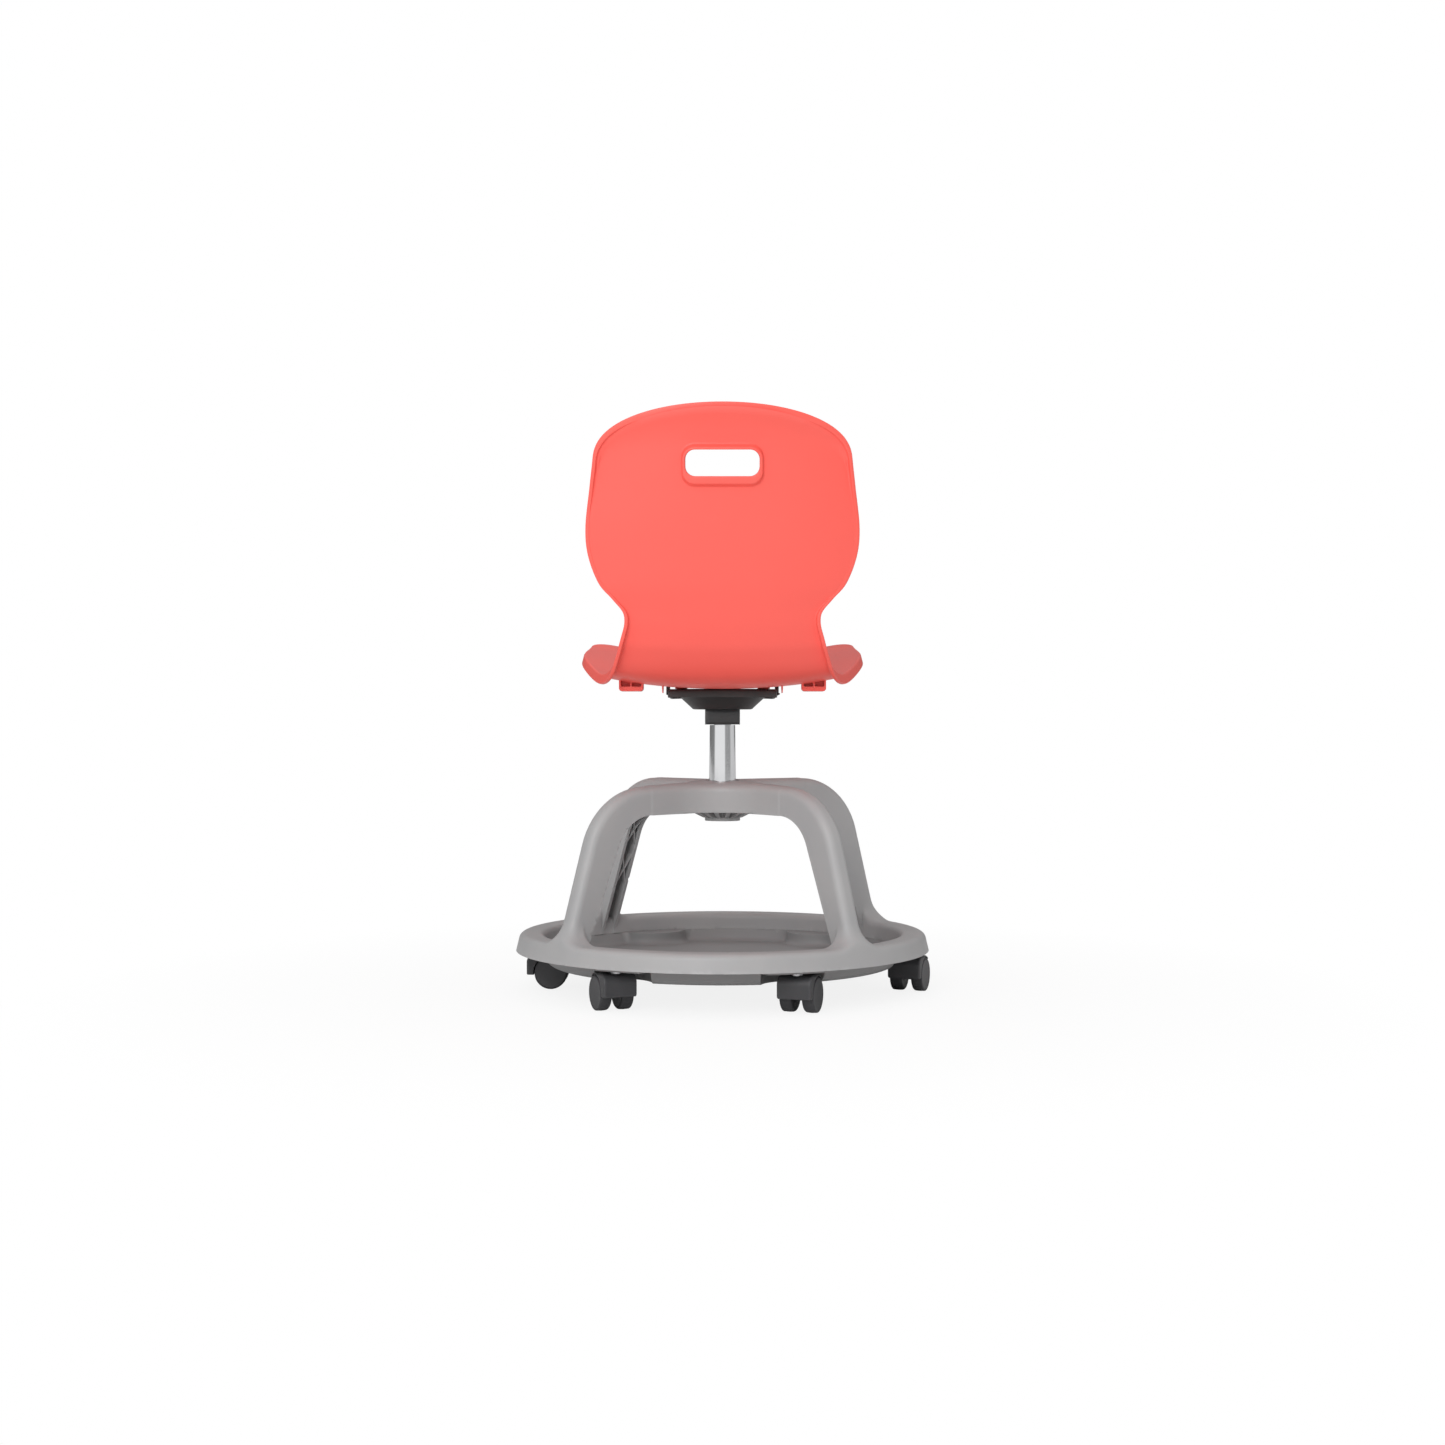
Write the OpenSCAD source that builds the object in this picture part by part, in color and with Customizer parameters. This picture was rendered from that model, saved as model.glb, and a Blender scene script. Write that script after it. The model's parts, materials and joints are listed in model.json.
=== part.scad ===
// Swivel classroom chair: a one-piece seat shell on a fixed-height swivel column,
// carried by an arched four-leg frame with a storage tray and six twin-wheel castors.
// Origin on the floor under the column, +Z up, the sitter faces -Y.
// Azimuths are measured from +Y (the rear) towards +X.

/* [Castors] */
// Diameter of a castor wheel
wheel_d = 48; // [42:1:54]
// Width of one castor wheel
wheel_w = 17; // [14:0.5:20]
// Thickness of the hood's web between the two wheels
hood_web = 13; // [11:0.5:16]
// Thickness of the hood's shell over the wheels
hood_wall = 2.3; // [2:0.1:4]
// Horizontal distance from the swivel axis to the axle
castor_trail = 18; // [16:0.5:20]
// Diameter of the swivel stem
stem_d = 9; // [7:0.5:10]
// Diameter of the axle
axle_d = 6; // [4:0.5:8]
// Distance of the swivel axes inside the ring's outer radius
castor_inset = 32; // [26:1:33]
// Gap between the top of the hood and the underside of the tray
castor_gap = 4.5; // [3.5:0.5:12]

/* [Frame] */
// Outer radius of the ring at its foot
ring_r = 300; // [298:1:320]
// Radial width of the ring
ring_w = 42; // [40:1:46]
// Height of the ring
ring_h = 25; // [22:0.5:34]
// Wall thickness of the frame moulding
frame_wall = 3.5; // [2.5:0.25:4]
// Height from the ring's top to the top of the hub
arch_h = 220; // [190:1:260]
// Depth of the hub and of the legs where they leave it
hub_depth = 45; // [38:1:56]
// Tangential width of a leg
leg_w = 28; // [24:1:36]
// Azimuth of the two rear legs, either side
rear_leg_az = 45; // [42:1:48]
// Azimuth of the two front legs from the front, either side
front_leg_az = 48.8; // [46:0.2:52]
// Turn of the whole base about the column, seen from above
base_turn = 5.2; // [0:0.2:10]

/* [Storage tray] */
// Depth of the tray below the ring
tray_depth = 22; // [16:0.5:24]
// Wall thickness of the tray
tray_wall = 3.4; // [2.5:0.1:4]
// Diameter of a drain hole
drain_d = 6; // [4:0.5:10]

/* [Column] */
// Diameter of the column at the hub
column_foot_d = 39.4; // [36:0.2:42]
// Diameter of the column at its top
column_top_d = 37; // [35.6:0.2:39]
// Exposed length of the column
column_len = 80; // [60:1:120]
// Diameter of the turning spindle inside the column
spindle_d = 25; // [22:0.5:26]

/* [Seat mount] */
// Side of the square socket block
block_w = 51; // [44:1:60]
// Height of the socket block
block_h = 22; // [18:1:30]
// Width of the seat plate
plate_w = 156; // [150:1:170]
// Front to back length of the seat plate
plate_l = 150; // [140:1:156]
// Depth of the plate's folded edge
plate_edge = 12; // [8:0.5:14]
// Sheet thickness of the plate and the pan
sheet = 3; // [2:0.25:3.5]

/* [Seat shell] */
// Widest width of the seat
seat_w = 410; // [390:5:440]
// Thickness of the shell
shell_t = 5; // [4:0.25:6]
// Depth of the rolled lip round the seat
lip_seat = 15; // [10:0.5:18]
// Depth of the rolled lip round the backrest
lip_back = 12; // [9:0.5:16]
// Height of the backrest above the seat
back_h = 376; // [350:2:400]
// Width of the hand hole
slot_w = 99; // [80:1:120]
// Height of the hand hole
slot_h = 35; // [28:1:42]

/* [Hidden] */
castor_names = ["castor_rear_left", "castor_rear_right", "castor_left", "castor_right",
                "castor_front_left", "castor_front_right"];
castor_parts = ["sleeve", "stem", "hood", "axle", "wheel_inner", "wheel_outer"];
$fn = 72;

coral = [1.0, 0.42, 0.39];
light_grey = [0.66, 0.66, 0.66];
dark_grey = [0.25, 0.25, 0.27];
near_black = [0.13, 0.13, 0.14];
steel = [0.62, 0.63, 0.65];
chrome_silver = [0.83, 0.84, 0.86];
acetal_white = [0.88, 0.88, 0.85];

fit = 0.05;          // radial clearance of a running fit
press = 0.02;        // radial clearance of a seated fit
face_gap = 0.3;      // clearance between parts that pass each other
eps = 1;             // overlap of a cutting tool past a face

// Castors: azimuth of each swivel axis on the base, and where its hood points in the room
castor_az = [27, -27, 87, -87, 150, -150];
castor_hood_az = [-24, 20, 90, 21, 148, -140];
wheel_r = wheel_d / 2;
wheel_gap = 0.5;
castor_w = hood_web + 2 * (wheel_w + wheel_gap);
wheel_room = 1.2;
hood_r = wheel_r + wheel_room + hood_wall;
hood_top = wheel_r + hood_r;
hood_nose = 17;
hood_foot = 21;
hood_web_foot = 17;
hood_nose_r = 12;
hood_end = 125;
hood_toe = 8;
hood_web_toe = 12;
hood_web_heel = 10;
stem_seat = 9;

// Heights up the base
tray_lid = hood_top + castor_gap;
ring_z = tray_lid + tray_wall;
ring_top = ring_z + ring_h;
hub_top = ring_top + arch_h;
hub_foot = hub_top - hub_depth;
tray_z = ring_z - tray_depth;

// Ring
ring_in = ring_r - ring_w;
castor_circle_r = ring_r - castor_inset;
ring_draft = 6;
ring_round = 8;
inner_round = 9;
stem_boss_r = 9;
screw_boss_r = 4.5;
screw_r = 2;
screw_offset = 24;

// Castor pockets in the tray
sweep_r = 49;
pocket_wall_r = sweep_r + tray_wall;
drain_circle_r = 98;
drain_count = 8;
tray_floor_r = 12;

// Legs: the outer line runs out from the hub, turns down and ends in the ring
leg_bend_r = 108;
leg_inner_bend_r = 60;
leg_foot_inset = 11;
leg_knee_inset = 75;
leg_inner_knee_inset = 118;
leg_inner_foot_inset = 6;
leg_foot_r = ring_r - leg_foot_inset;
leg_knee_r = ring_r - leg_knee_inset;
leg_inner_knee_r = ring_r - leg_inner_knee_inset;
leg_inner_foot_r = ring_in - leg_inner_foot_inset;
leg_sink = 8;
rear_knee_drop = 11;
hub_fillet = 50;
rib_t = 1.8;
rib_len = 64;
rib_low = [30, 78];
rib_high = [56, 138];
rib_arch = [80, 18];

// Hub
sleeve_r = column_foot_d / 2 + 2.4;
hub_hole_r = column_foot_d / 2 + 5;
hub_hole_depth = 12;
hub_bite = 0.2;
hub_lip = 1;
hub_boss_r = 34;
hub_boss_tip_r = 26;
hub_boss_h = 10;
hub_boss_rim = 3;

// Column
column_sink = hub_depth + hub_boss_h + hub_boss_rim - sheet;
column_foot_z = hub_top - column_sink;
column_top = hub_top + column_len;
column_bore_r = 15.5;
column_rate = (column_foot_d - column_top_d) / 2 / column_len;
foot_t = 6;
race_t = 3;
ball_r = 2.5;
ball_circle_r = 9;
ball_count = 8;
race_z = column_foot_z + foot_t;
ball_z = race_z + race_t + fit + ball_r;
upper_race_z = ball_z + ball_r + fit;
spindle_z = upper_race_z + race_t;
clip_z = spindle_z + 4;
clip_t = 2;
bush_l = 20;
lower_bush_z = clip_z + clip_t + face_gap;
upper_bush_z = column_top - bush_l;

// Seat mount
block_gap = 0.7;
pan_depth = 26;
block_z = column_top + block_gap;
pan_z = block_z + block_h;
plate_top = pan_z + pan_depth + sheet;
plate_z = plate_top - sheet;
pan_foot_r = 42.8;
pan_rim_r = 70;
flange_up = 5.5;
flange_down = 8;
flange_front = -70;
flange_rear = 40;
seat_hole_x = 60;
seat_hole_y = 50;
seat_screw_l = 8;
seat_boss_r = 8;

// Shell stations along the middle line, front to top:
// [forward-to-rear position, height above the plate, half width, rise of the edge]
half_seat = seat_w / 2;
stations = [
    [-222, 39, half_seat - 13, 17],
    [-203, 55, half_seat - 8, 24],
    [-150, 48, half_seat - 2, 20],
    [-50, 28, half_seat, 25],
    [40, 9, half_seat - 19, 22],
    [105, 5, half_seat - 36, 16],
    [150, 17, half_seat - 51, 13],
    [178, 49, half_seat - 63, 11],
    [187, 70, half_seat - 69, 10],
    [192.5, 88, half_seat - 73, 9],
    [196, back_h - 273, half_seat - 70, 9.5],
    [200, back_h - 256, half_seat - 55, 10.5],
    [204.5, back_h - 236, half_seat - 38, 12],
    [211, back_h - 197, half_seat - 24, 15],
    [218, back_h - 157, half_seat - 22, 17],
    [226, back_h - 107, half_seat - 29, 19],
    [234, back_h - 57, half_seat - 35, 20],
    [244, back_h + 5, half_seat - 36, 20]];
top_arch = 74;
front_arch = 60;
arch_power = 2.13;
lip_change = [380, 530];
shell_rows = 44;
shell_cols = 20;
slot_z = plate_top + back_h - 76;
slot_round = 13;
slot_reach = 160;
slot_through = 80;
clip_w = 34;
clip_x = 129;
clip_y = 84;
clip_l = 30;
clip_rib = 2;
clip_foot = plate_top - 4;
fin_x = 84.5;

// ---------- helpers ----------
function unit(v) = v / norm(v);
function arc_pts(c, r, a, b, n = 10) =
    [for (i = [0 : n]) c + r * [cos(a + (b - a) * i / n), sin(a + (b - a) * i / n)]];

// Points of the round that joins the lines a-b and b-c with radius r
function round_pts(a, b, c, r, n = 12) =
    let (u = unit(a - b), v = unit(c - b),
         half = acos(u * v) / 2,
         centre = b + unit(u + v) * r / sin(half),
         p = b + u * r / tan(half) - centre,
         q = b + v * r / tan(half) - centre,
         start = atan2(p.y, p.x),
         turn = atan2(p.x * q.y - p.y * q.x, p * q))
    arc_pts(centre, r, start, start + turn, n);

module at_azimuth(a) rotate([0, 0, -a]) children();
module base_place() at_azimuth(base_turn) children();

// Puts children at castor i's swivel axis, with +Y the way its hood points
module castor_place(i) {
    a = castor_az[i] + base_turn;
    translate([castor_circle_r * sin(a), castor_circle_r * cos(a), 0])
        at_azimuth(castor_hood_az[i])
            children();
}

// Puts children at a castor seat of the base, with +Y outwards
module castor_seats() {
    for (a = castor_az)
        at_azimuth(a)
            translate([0, castor_circle_r, 0])
                children();
}

// ---------- base frame ----------
function leg_outer(drop, inset) =
    let (top = hub_top - inset, knee = [leg_knee_r - inset, top - drop],
         foot = [leg_foot_r - inset, ring_top - leg_sink])
    concat([[0, top]], round_pts([0, top], knee, foot, leg_bend_r - inset), [foot]);
leg_inner = concat(
    [[leg_inner_foot_r, ring_top - leg_sink]],
    round_pts([leg_inner_foot_r, ring_top - leg_sink], [leg_inner_knee_r, hub_foot],
              [0, hub_foot], leg_inner_bend_r),
    [[0, hub_foot]]);
// Beyond the open inner side of the channel
leg_open = [[leg_inner_foot_r - 60, ring_top - leg_sink - eps], [0, hub_foot - 60]];

// Lays a flat shape drawn in (radius, height) across the leg's width
module across(w) {
    rotate([90, 0, 90])
        linear_extrude(height = w, center = true)
            children();
}

// A cross of two thin ribs inside the channel, about the point p of the leg's side view
module rib_cross(p, tilt) {
    spread = atan((leg_w - 2 * frame_wall) / 52);
    translate([0, p.x, p.y])
        rotate([tilt, 0, 0])
            for (s = [-1, 1])
                rotate([0, s * spread, 0])
                    cube([rib_t, 2 * hub_depth, rib_len], center = true);
}

module leg(drop) {
    difference() {
        across(leg_w) polygon(concat(leg_outer(drop, 0), leg_inner));
        difference() {
            across(leg_w - 2 * frame_wall)
                polygon(concat(leg_outer(drop, frame_wall), leg_open));
            rib_cross([leg_inner_foot_r - rib_low.x, ring_top + rib_low.y], 18);
            rib_cross([leg_inner_foot_r - rib_high.x, ring_top + rib_high.y], 24);
            rib_cross([leg_inner_knee_r - rib_arch.x, hub_foot + rib_arch.y], 90);
            cylinder(r = hub_fillet, h = hub_top);
        }
    }
}

// Plan of the hub: an arc between each leg and the next
function hub_gap(a, b) =
    let (half = (b - a) / 2, mid = (a + b) / 2,
         reach = (leg_w / 2 - hub_bite + hub_fillet) / sin(half),
         c = reach * [sin(mid), cos(mid)],
         open = 90 - half)
    [for (i = [0 : 10]) let (t = mid + 180 - open + 2 * open * i / 10)
        c + hub_fillet * [sin(t), cos(t)]];
leg_azs = [-rear_leg_az, rear_leg_az, 180 - front_leg_az, 180 + front_leg_az];
hub_plan = [for (i = [0 : 3])
    each let (a = leg_azs[i], b = i < 3 ? leg_azs[i + 1] : leg_azs[0] + 360,
              arc = hub_gap(a, b))
        [for (k = [0 : 10]) arc[10 - k]]];

module ring_profile() {
    foot = ring_z;
    top = ring_top;
    shoulder = [ring_r - ring_draft, top];
    outside = concat([[ring_r, foot]],
        round_pts([ring_r, foot], shoulder, [ring_in, top], ring_round),
        round_pts([ring_r, top], [ring_in, top], [ring_in, foot], inner_round),
        [[ring_in, foot + face_gap]]);
    lid = top - frame_wall;
    inside = concat([[ring_in + frame_wall, foot + face_gap]],
        round_pts([ring_in + frame_wall, foot], [ring_in + frame_wall, lid], [ring_r, lid],
                  inner_round - frame_wall),
        round_pts([ring_in, lid], [ring_r - ring_draft - frame_wall, lid],
                  [ring_r - frame_wall, foot], ring_round - frame_wall),
        [[ring_r - frame_wall, foot]]);
    polygon(concat(outside, inside));
}

module hub_body() {
    translate([0, 0, hub_foot - hub_lip])
        linear_extrude(height = hub_depth + hub_lip)
            polygon(hub_plan);
    translate([0, 0, hub_foot - hub_boss_h])
        cylinder(r1 = hub_boss_tip_r, r2 = hub_boss_r, h = hub_boss_h - hub_lip);
    translate([0, 0, hub_foot - hub_boss_h - hub_boss_rim])
        cylinder(r = hub_boss_tip_r, h = hub_boss_rim);
}

module base_frame() {
    color(light_grey)
        base_place()
            difference() {
                union() {
                    rotate_extrude($fn = 144) ring_profile();
                    for (s = [-1, 1]) {
                        at_azimuth(s * rear_leg_az) leg(rear_knee_drop);
                        at_azimuth(s * (180 - front_leg_az)) leg(0);
                    }
                    hub_body();
                    castor_seats() {
                        translate([0, 0, ring_z])
                            cylinder(r = stem_boss_r, h = ring_h - frame_wall + press);
                        for (s = [-1, 1])
                            translate([s * screw_offset, 0, ring_z])
                                cylinder(r = screw_boss_r, h = ring_h - frame_wall + press);
                    }
                }
                translate([0, 0, column_foot_z - sheet - eps])
                    cylinder(r = sleeve_r + press, h = column_sink + sheet);
                translate([0, 0, hub_top - hub_hole_depth])
                    cylinder(r = hub_hole_r, h = hub_hole_depth + eps);
                castor_seats() {
                    translate([0, 0, ring_z - eps])
                        cylinder(r = sleeve_wall_r + press, h = sleeve_l + eps);
                    for (s = [-1, 1])
                        translate([s * screw_offset, 0, ring_z - eps])
                            cylinder(r = screw_r, h = tray_screw_l);
                }
            }
}

// ---------- storage tray ----------
sleeve_wall_r = stem_d / 2 + 1.5;
sleeve_l = ring_h - frame_wall - 2;
sleeve_flange_r = sleeve_wall_r + 2.5;
sleeve_flange_t = 1.5;
tray_screw_l = 15;

module tray_profile() {
    top = ring_z;
    rim = ring_in + tray_wall;
    foot = rim - 8;
    outside = concat([[0, tray_z], [foot - tray_floor_r, tray_z]],
        round_pts([0, tray_z], [foot, tray_z], [rim, top], 9),
        [[rim, top], [rim - tray_wall, top]]);
    inside = concat(round_pts([rim - tray_wall, top], [foot - tray_wall, tray_z + tray_wall],
                              [0, tray_z + tray_wall], 9 - tray_wall),
        [[0, tray_z + tray_wall]]);
    polygon(concat(outside, inside));
}

module storage_tray() {
    color(light_grey)
        base_place()
            difference() {
                union() {
                    rotate_extrude($fn = 144) tray_profile();
                    intersection() {
                        castor_seats()
                            translate([0, 0, tray_z])
                                cylinder(r = pocket_wall_r, h = tray_lid + tray_wall - tray_z);
                        translate([0, 0, tray_z])
                            cylinder(r = ring_r - 10, h = tray_depth, $fn = 144);
                    }
                }
                castor_seats() {
                    translate([0, 0, tray_z - eps])
                        cylinder(r = sweep_r, h = tray_lid - tray_z + eps);
                    cylinder(r = sleeve_wall_r + press, h = ring_top);
                    for (s = [-1, 1])
                        translate([s * screw_offset, 0, 0])
                            cylinder(r = screw_r + fit, h = ring_top);
                }
                translate([0, 0, tray_z - eps])
                    difference() {
                        cylinder(r = 2 * ring_r, h = tray_lid - tray_z);
                        cylinder(r1 = ring_in - 4, r2 = ring_in + tray_wall,
                                 h = tray_lid - tray_z, $fn = 144);
                    }
                for (i = [0 : drain_count - 1])
                    at_azimuth(i * 360 / drain_count)
                        translate([0, drain_circle_r, tray_z - eps])
                            cylinder(d = drain_d, h = tray_wall + 2 * eps);
            }
}

module tray_screws() {
    color(steel)
        base_place()
            castor_seats()
                for (s = [-1, 1])
                    translate([s * screw_offset, 0, 0]) {
                        translate([0, 0, tray_lid - 2])
                            cylinder(r = 2 * screw_r, h = 2);
                        translate([0, 0, tray_lid - press])
                            cylinder(r = screw_r - press, h = tray_wall + tray_screw_l - 3);
                    }
}

// ---------- column ----------
function column_r(z) = column_foot_d / 2 - (z - hub_top) * column_rate;

module hub_sleeve() {
    color(steel)
        difference() {
            translate([0, 0, column_foot_z - sheet])
                cylinder(r = sleeve_r, h = column_sink + sheet - hub_hole_depth);
            translate([0, 0, column_foot_z])
                cylinder(r1 = column_r(column_foot_z) + press,
                         r2 = column_r(hub_top) + press, h = column_sink);
            translate([0, 0, column_foot_z - sheet - eps])
                cylinder(r = column_bore_r - 4, h = sheet + 2 * eps);
        }
}

module column_tube() {
    color(chrome_silver)
        difference() {
            translate([0, 0, column_foot_z])
                cylinder(r1 = column_r(column_foot_z), r2 = column_top_d / 2,
                         h = column_top - column_foot_z);
            translate([0, 0, column_foot_z - eps])
                cylinder(r = column_bore_r, h = column_top - column_foot_z + 2 * eps);
        }
}

module column_foot() {
    color(steel)
        translate([0, 0, column_foot_z])
            cylinder(r = column_bore_r - press, h = foot_t);
}

module race() {
    difference() {
        cylinder(r = column_bore_r - 2, h = race_t);
        translate([0, 0, -eps])
            cylinder(r = ball_circle_r - ball_r - 2, h = race_t + 2 * eps);
    }
}

module lower_race() {
    color(steel) translate([0, 0, race_z]) race();
}

module upper_race() {
    color(steel) translate([0, 0, upper_race_z]) race();
}

module thrust_balls() {
    color(steel)
        for (i = [0 : ball_count - 1])
            at_azimuth(i * 360 / ball_count)
                translate([0, ball_circle_r, ball_z])
                    sphere(r = ball_r);
}

module bush(z) {
    color(acetal_white)
        translate([0, 0, z])
            difference() {
                cylinder(r = column_bore_r - press, h = bush_l);
                translate([0, 0, -eps])
                    cylinder(r = spindle_d / 2 + fit, h = bush_l + 2 * eps);
            }
}

module lower_bush() bush(lower_bush_z);
module upper_bush() bush(upper_bush_z);

module spindle() {
    color(steel)
        difference() {
            translate([0, 0, spindle_z])
                cylinder(d = spindle_d, h = pan_z - spindle_z);
            translate([0, 0, clip_z - press])
                difference() {
                    cylinder(r = spindle_d, h = clip_t + 2 * press);
                    translate([0, 0, -eps])
                        cylinder(r = spindle_d / 2 - 1.5, h = clip_t + 2 * eps);
                }
        }
}

module spindle_clip() {
    color(steel)
        translate([0, 0, clip_z])
            difference() {
                cylinder(r = column_bore_r - 1, h = clip_t);
                translate([0, 0, -eps])
                    cylinder(r = spindle_d / 2 - 1.5 + press, h = clip_t + 2 * eps);
                translate([-3, 0, -eps])
                    cube([6, column_bore_r, clip_t + 2 * eps]);
            }
}

// ---------- seat mount ----------
module socket_block() {
    color(near_black)
        translate([0, 0, block_z])
            difference() {
                translate([-block_w / 2, -block_w / 2, 0])
                    cube([block_w, block_w, block_h]);
                translate([0, 0, -eps])
                    cylinder(r = spindle_d / 2 + press, h = block_h + 2 * eps);
            }
}

module seat_pan() {
    rim = plate_z - pan_z;
    color(near_black)
        translate([0, 0, pan_z])
            difference() {
                cylinder(r1 = pan_foot_r, r2 = pan_rim_r, h = rim);
                translate([0, 0, sheet])
                    cylinder(r1 = pan_foot_r - sheet, r2 = pan_rim_r - sheet, h = rim);
            }
}

module seat_plate() {
    color(near_black)
        difference() {
            union() {
                difference() {
                    translate([-plate_w / 2, -plate_l / 2, plate_top - plate_edge])
                        cube([plate_w, plate_l, plate_edge]);
                    translate([-plate_w / 2 + sheet, -plate_l / 2 + sheet,
                               plate_top - plate_edge - eps])
                        cube([plate_w - 2 * sheet, plate_l - 2 * sheet,
                              plate_edge - sheet + eps]);
                }
                for (s = [-1, 1])
                    translate([s * (plate_w + sheet) / 2, 0, plate_top])
                        translate([-sheet / 2, flange_front, -flange_down])
                            cube([sheet, flange_rear - flange_front, flange_down + flange_up]);
            }
            seat_holes()
                translate([0, 0, plate_z - eps])
                    cylinder(r = 3 + fit, h = sheet + 2 * eps);
        }
}

module seat_holes() {
    for (sx = [-1, 1])
        for (sy = [-1, 1])
            translate([sx * seat_hole_x, sy * seat_hole_y, 0])
                children();
}

module seat_screws() {
    color(steel)
        seat_holes() {
            translate([0, 0, plate_z - 3.5])
                cylinder(r = 5.5, h = 3.5);
            translate([0, 0, plate_z - press])
                cylinder(r = 3 - press, h = sheet + seat_screw_l);
        }
}

// ---------- seat shell ----------
// Smooth curve through the stations: value k of all stations at t, counted in stations
function through(a, b, c, d, f) =
    0.5 * (2 * b + (c - a) * f + (2 * a - 5 * b + 4 * c - d) * f * f
           + (3 * b - a - 3 * c + d) * f * f * f);
last = len(stations) - 1;
function station(t) =
    let (i = min(floor(t), last - 1), f = t - i,
         b = stations[i], c = stations[i + 1],
         a = i > 0 ? stations[i - 1] : 2 * b - c,
         d = i < last - 1 ? stations[i + 2] : 2 * c - b)
    through(a, b, c, d, f);
steps = 6;
line = [for (i = [0 : last * steps]) station(i / steps)];
function run(i) = norm([line[i][0] - line[i - 1][0], line[i][1] - line[i - 1][1]]);
along = [for (i = 0, s = 0; i <= last * steps; i = i + 1, s = s + (i <= last * steps ? run(i) : 0)) s];
total = along[last * steps];
function table(k) = [for (i = [0 : last * steps]) [along[i], line[i][k]]];
line_y = table(0);
line_z = table(1);
line_w = table(2);
line_rise = table(3);

// Point of the sitter's face at length s and sideways place x
function face(s, x) =
    let (d = 2,
         y0 = lookup(s - d, line_y), y1 = lookup(s + d, line_y),
         z0 = lookup(s - d, line_z), z1 = lookup(s + d, line_z),
         n = unit([z0 - z1, y1 - y0]),
         w = lookup(s, line_w),
         lift = lookup(s, line_rise) * pow(abs(x) / w, 2.2))
    [x, lookup(s, line_y) + n.x * lift, plate_top + lookup(s, line_z) + n.y * lift];
function normal(s, x) =
    let (d = 2)
    unit(cross(face(s, x + d) - face(s, x - d), face(s + d, x) - face(s - d, x)));

// The outline narrows to a rounded end at the front and at the top.
// u runs front to top, v side to side, inset keeps away from the outline.
function end_round(v) = 1 - pow(max(0, 1 - pow(abs(v), arch_power)), 1 / 2.2);
function place(u, v, inset) =
    let (v1 = sin(90 * v),
         low = 3 + inset + front_arch * end_round(v1),
         high = total - 1 - inset - top_arch * end_round(v1),
         s = low + (high - low) * u,
         w = lookup(s, line_w) - inset)
    [s, w * v1];
function shell_point(u, v, inset, depth) =
    let (p = place(u, v, inset))
    face(p[0], p[1]) - depth * normal(p[0], p[1]);

cols = shell_cols;
rows = shell_rows;
// Row and column of each point round the edge, once round
edge = concat([for (j = [0 : cols - 1]) [0, j]], [for (i = [0 : rows - 1]) [i, cols]],
              [for (j = [cols : -1 : 1]) [rows, j]], [for (i = [rows : -1 : 1]) [i, 0]]);
function at(e, inset, depth) =
    shell_point(e[0] / rows, 2 * e[1] / cols - 1, inset, depth);
// The lip's depth changes from the seat to the backrest over part of the length
function lip_at(e) =
    let (s = place(e[0] / rows, 2 * e[1] / cols - 1, 0)[0],
         f = (s - lip_change[0]) / (lip_change[1] - lip_change[0]))
    lip_seat + (lip_back - lip_seat) * max(0, min(1, f));
function grid_index(i, j) = i * (cols + 1) + j;

module shell_body() {
    count = (rows + 1) * (cols + 1);
    n = len(edge);
    top = [for (i = [0 : rows]) for (j = [0 : cols]) at([i, j], 0, 0)];
    under = [for (i = [0 : rows]) for (j = [0 : cols]) at([i, j], shell_t, shell_t)];
    lip_out = [for (e = edge) at(e, 0, lip_at(e))];
    lip_in = [for (e = edge) at(e, shell_t, lip_at(e))];
    faces_top = [for (i = [0 : rows - 1]) for (j = [0 : cols - 1]) each
        let (a = grid_index(i, j), b = a + 1, c = grid_index(i + 1, j), d = c + 1)
        [[a, c, b], [b, c, d]]];
    faces_under = [for (f = faces_top) [f[0] + count, f[2] + count, f[1] + count]];
    function edge_top(k) = grid_index(edge[k % n][0], edge[k % n][1]);
    faces_lip = [for (k = [0 : n - 1]) each
        let (a = edge_top(k), b = edge_top(k + 1),
             c = 2 * count + k, d = 2 * count + (k + 1) % n,
             e = c + n, f = d + n, g = a + count, h = b + count)
        [[a, b, c], [b, d, c], [c, d, e], [d, f, e], [e, f, g], [f, h, g]]];
    polyhedron(points = concat(top, under, lip_out, lip_in),
               faces = concat(faces_top, faces_under, faces_lip));
}

module slot_shape() {
    x = slot_w / 2 - slot_round;
    z = slot_h / 2 - slot_round;
    square([slot_w, 2 * z], center = true);
    square([2 * x, slot_h], center = true);
    for (sx = [-1, 1])
        for (sz = [-1, 1])
            translate([sx * x, sz * z])
                circle(r = slot_round);
}

// One of the two snap clips moulded under the seat
module frame_clip(s) {
    up = 22;
    for (k = [-1, 0, 1])
        translate([s * clip_x + k * (clip_w - clip_rib) / 2 - clip_rib / 2, clip_y - clip_l / 2,
                   clip_foot])
            cube([clip_rib, clip_l, up]);
    translate([s * clip_x - clip_w / 2, clip_y - clip_l / 2, clip_foot])
        cube([clip_w, clip_l - 8, clip_rib]);
    translate([s * clip_x - clip_w / 2, clip_y, clip_foot])
        cube([clip_w, clip_rib, up]);
}

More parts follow.
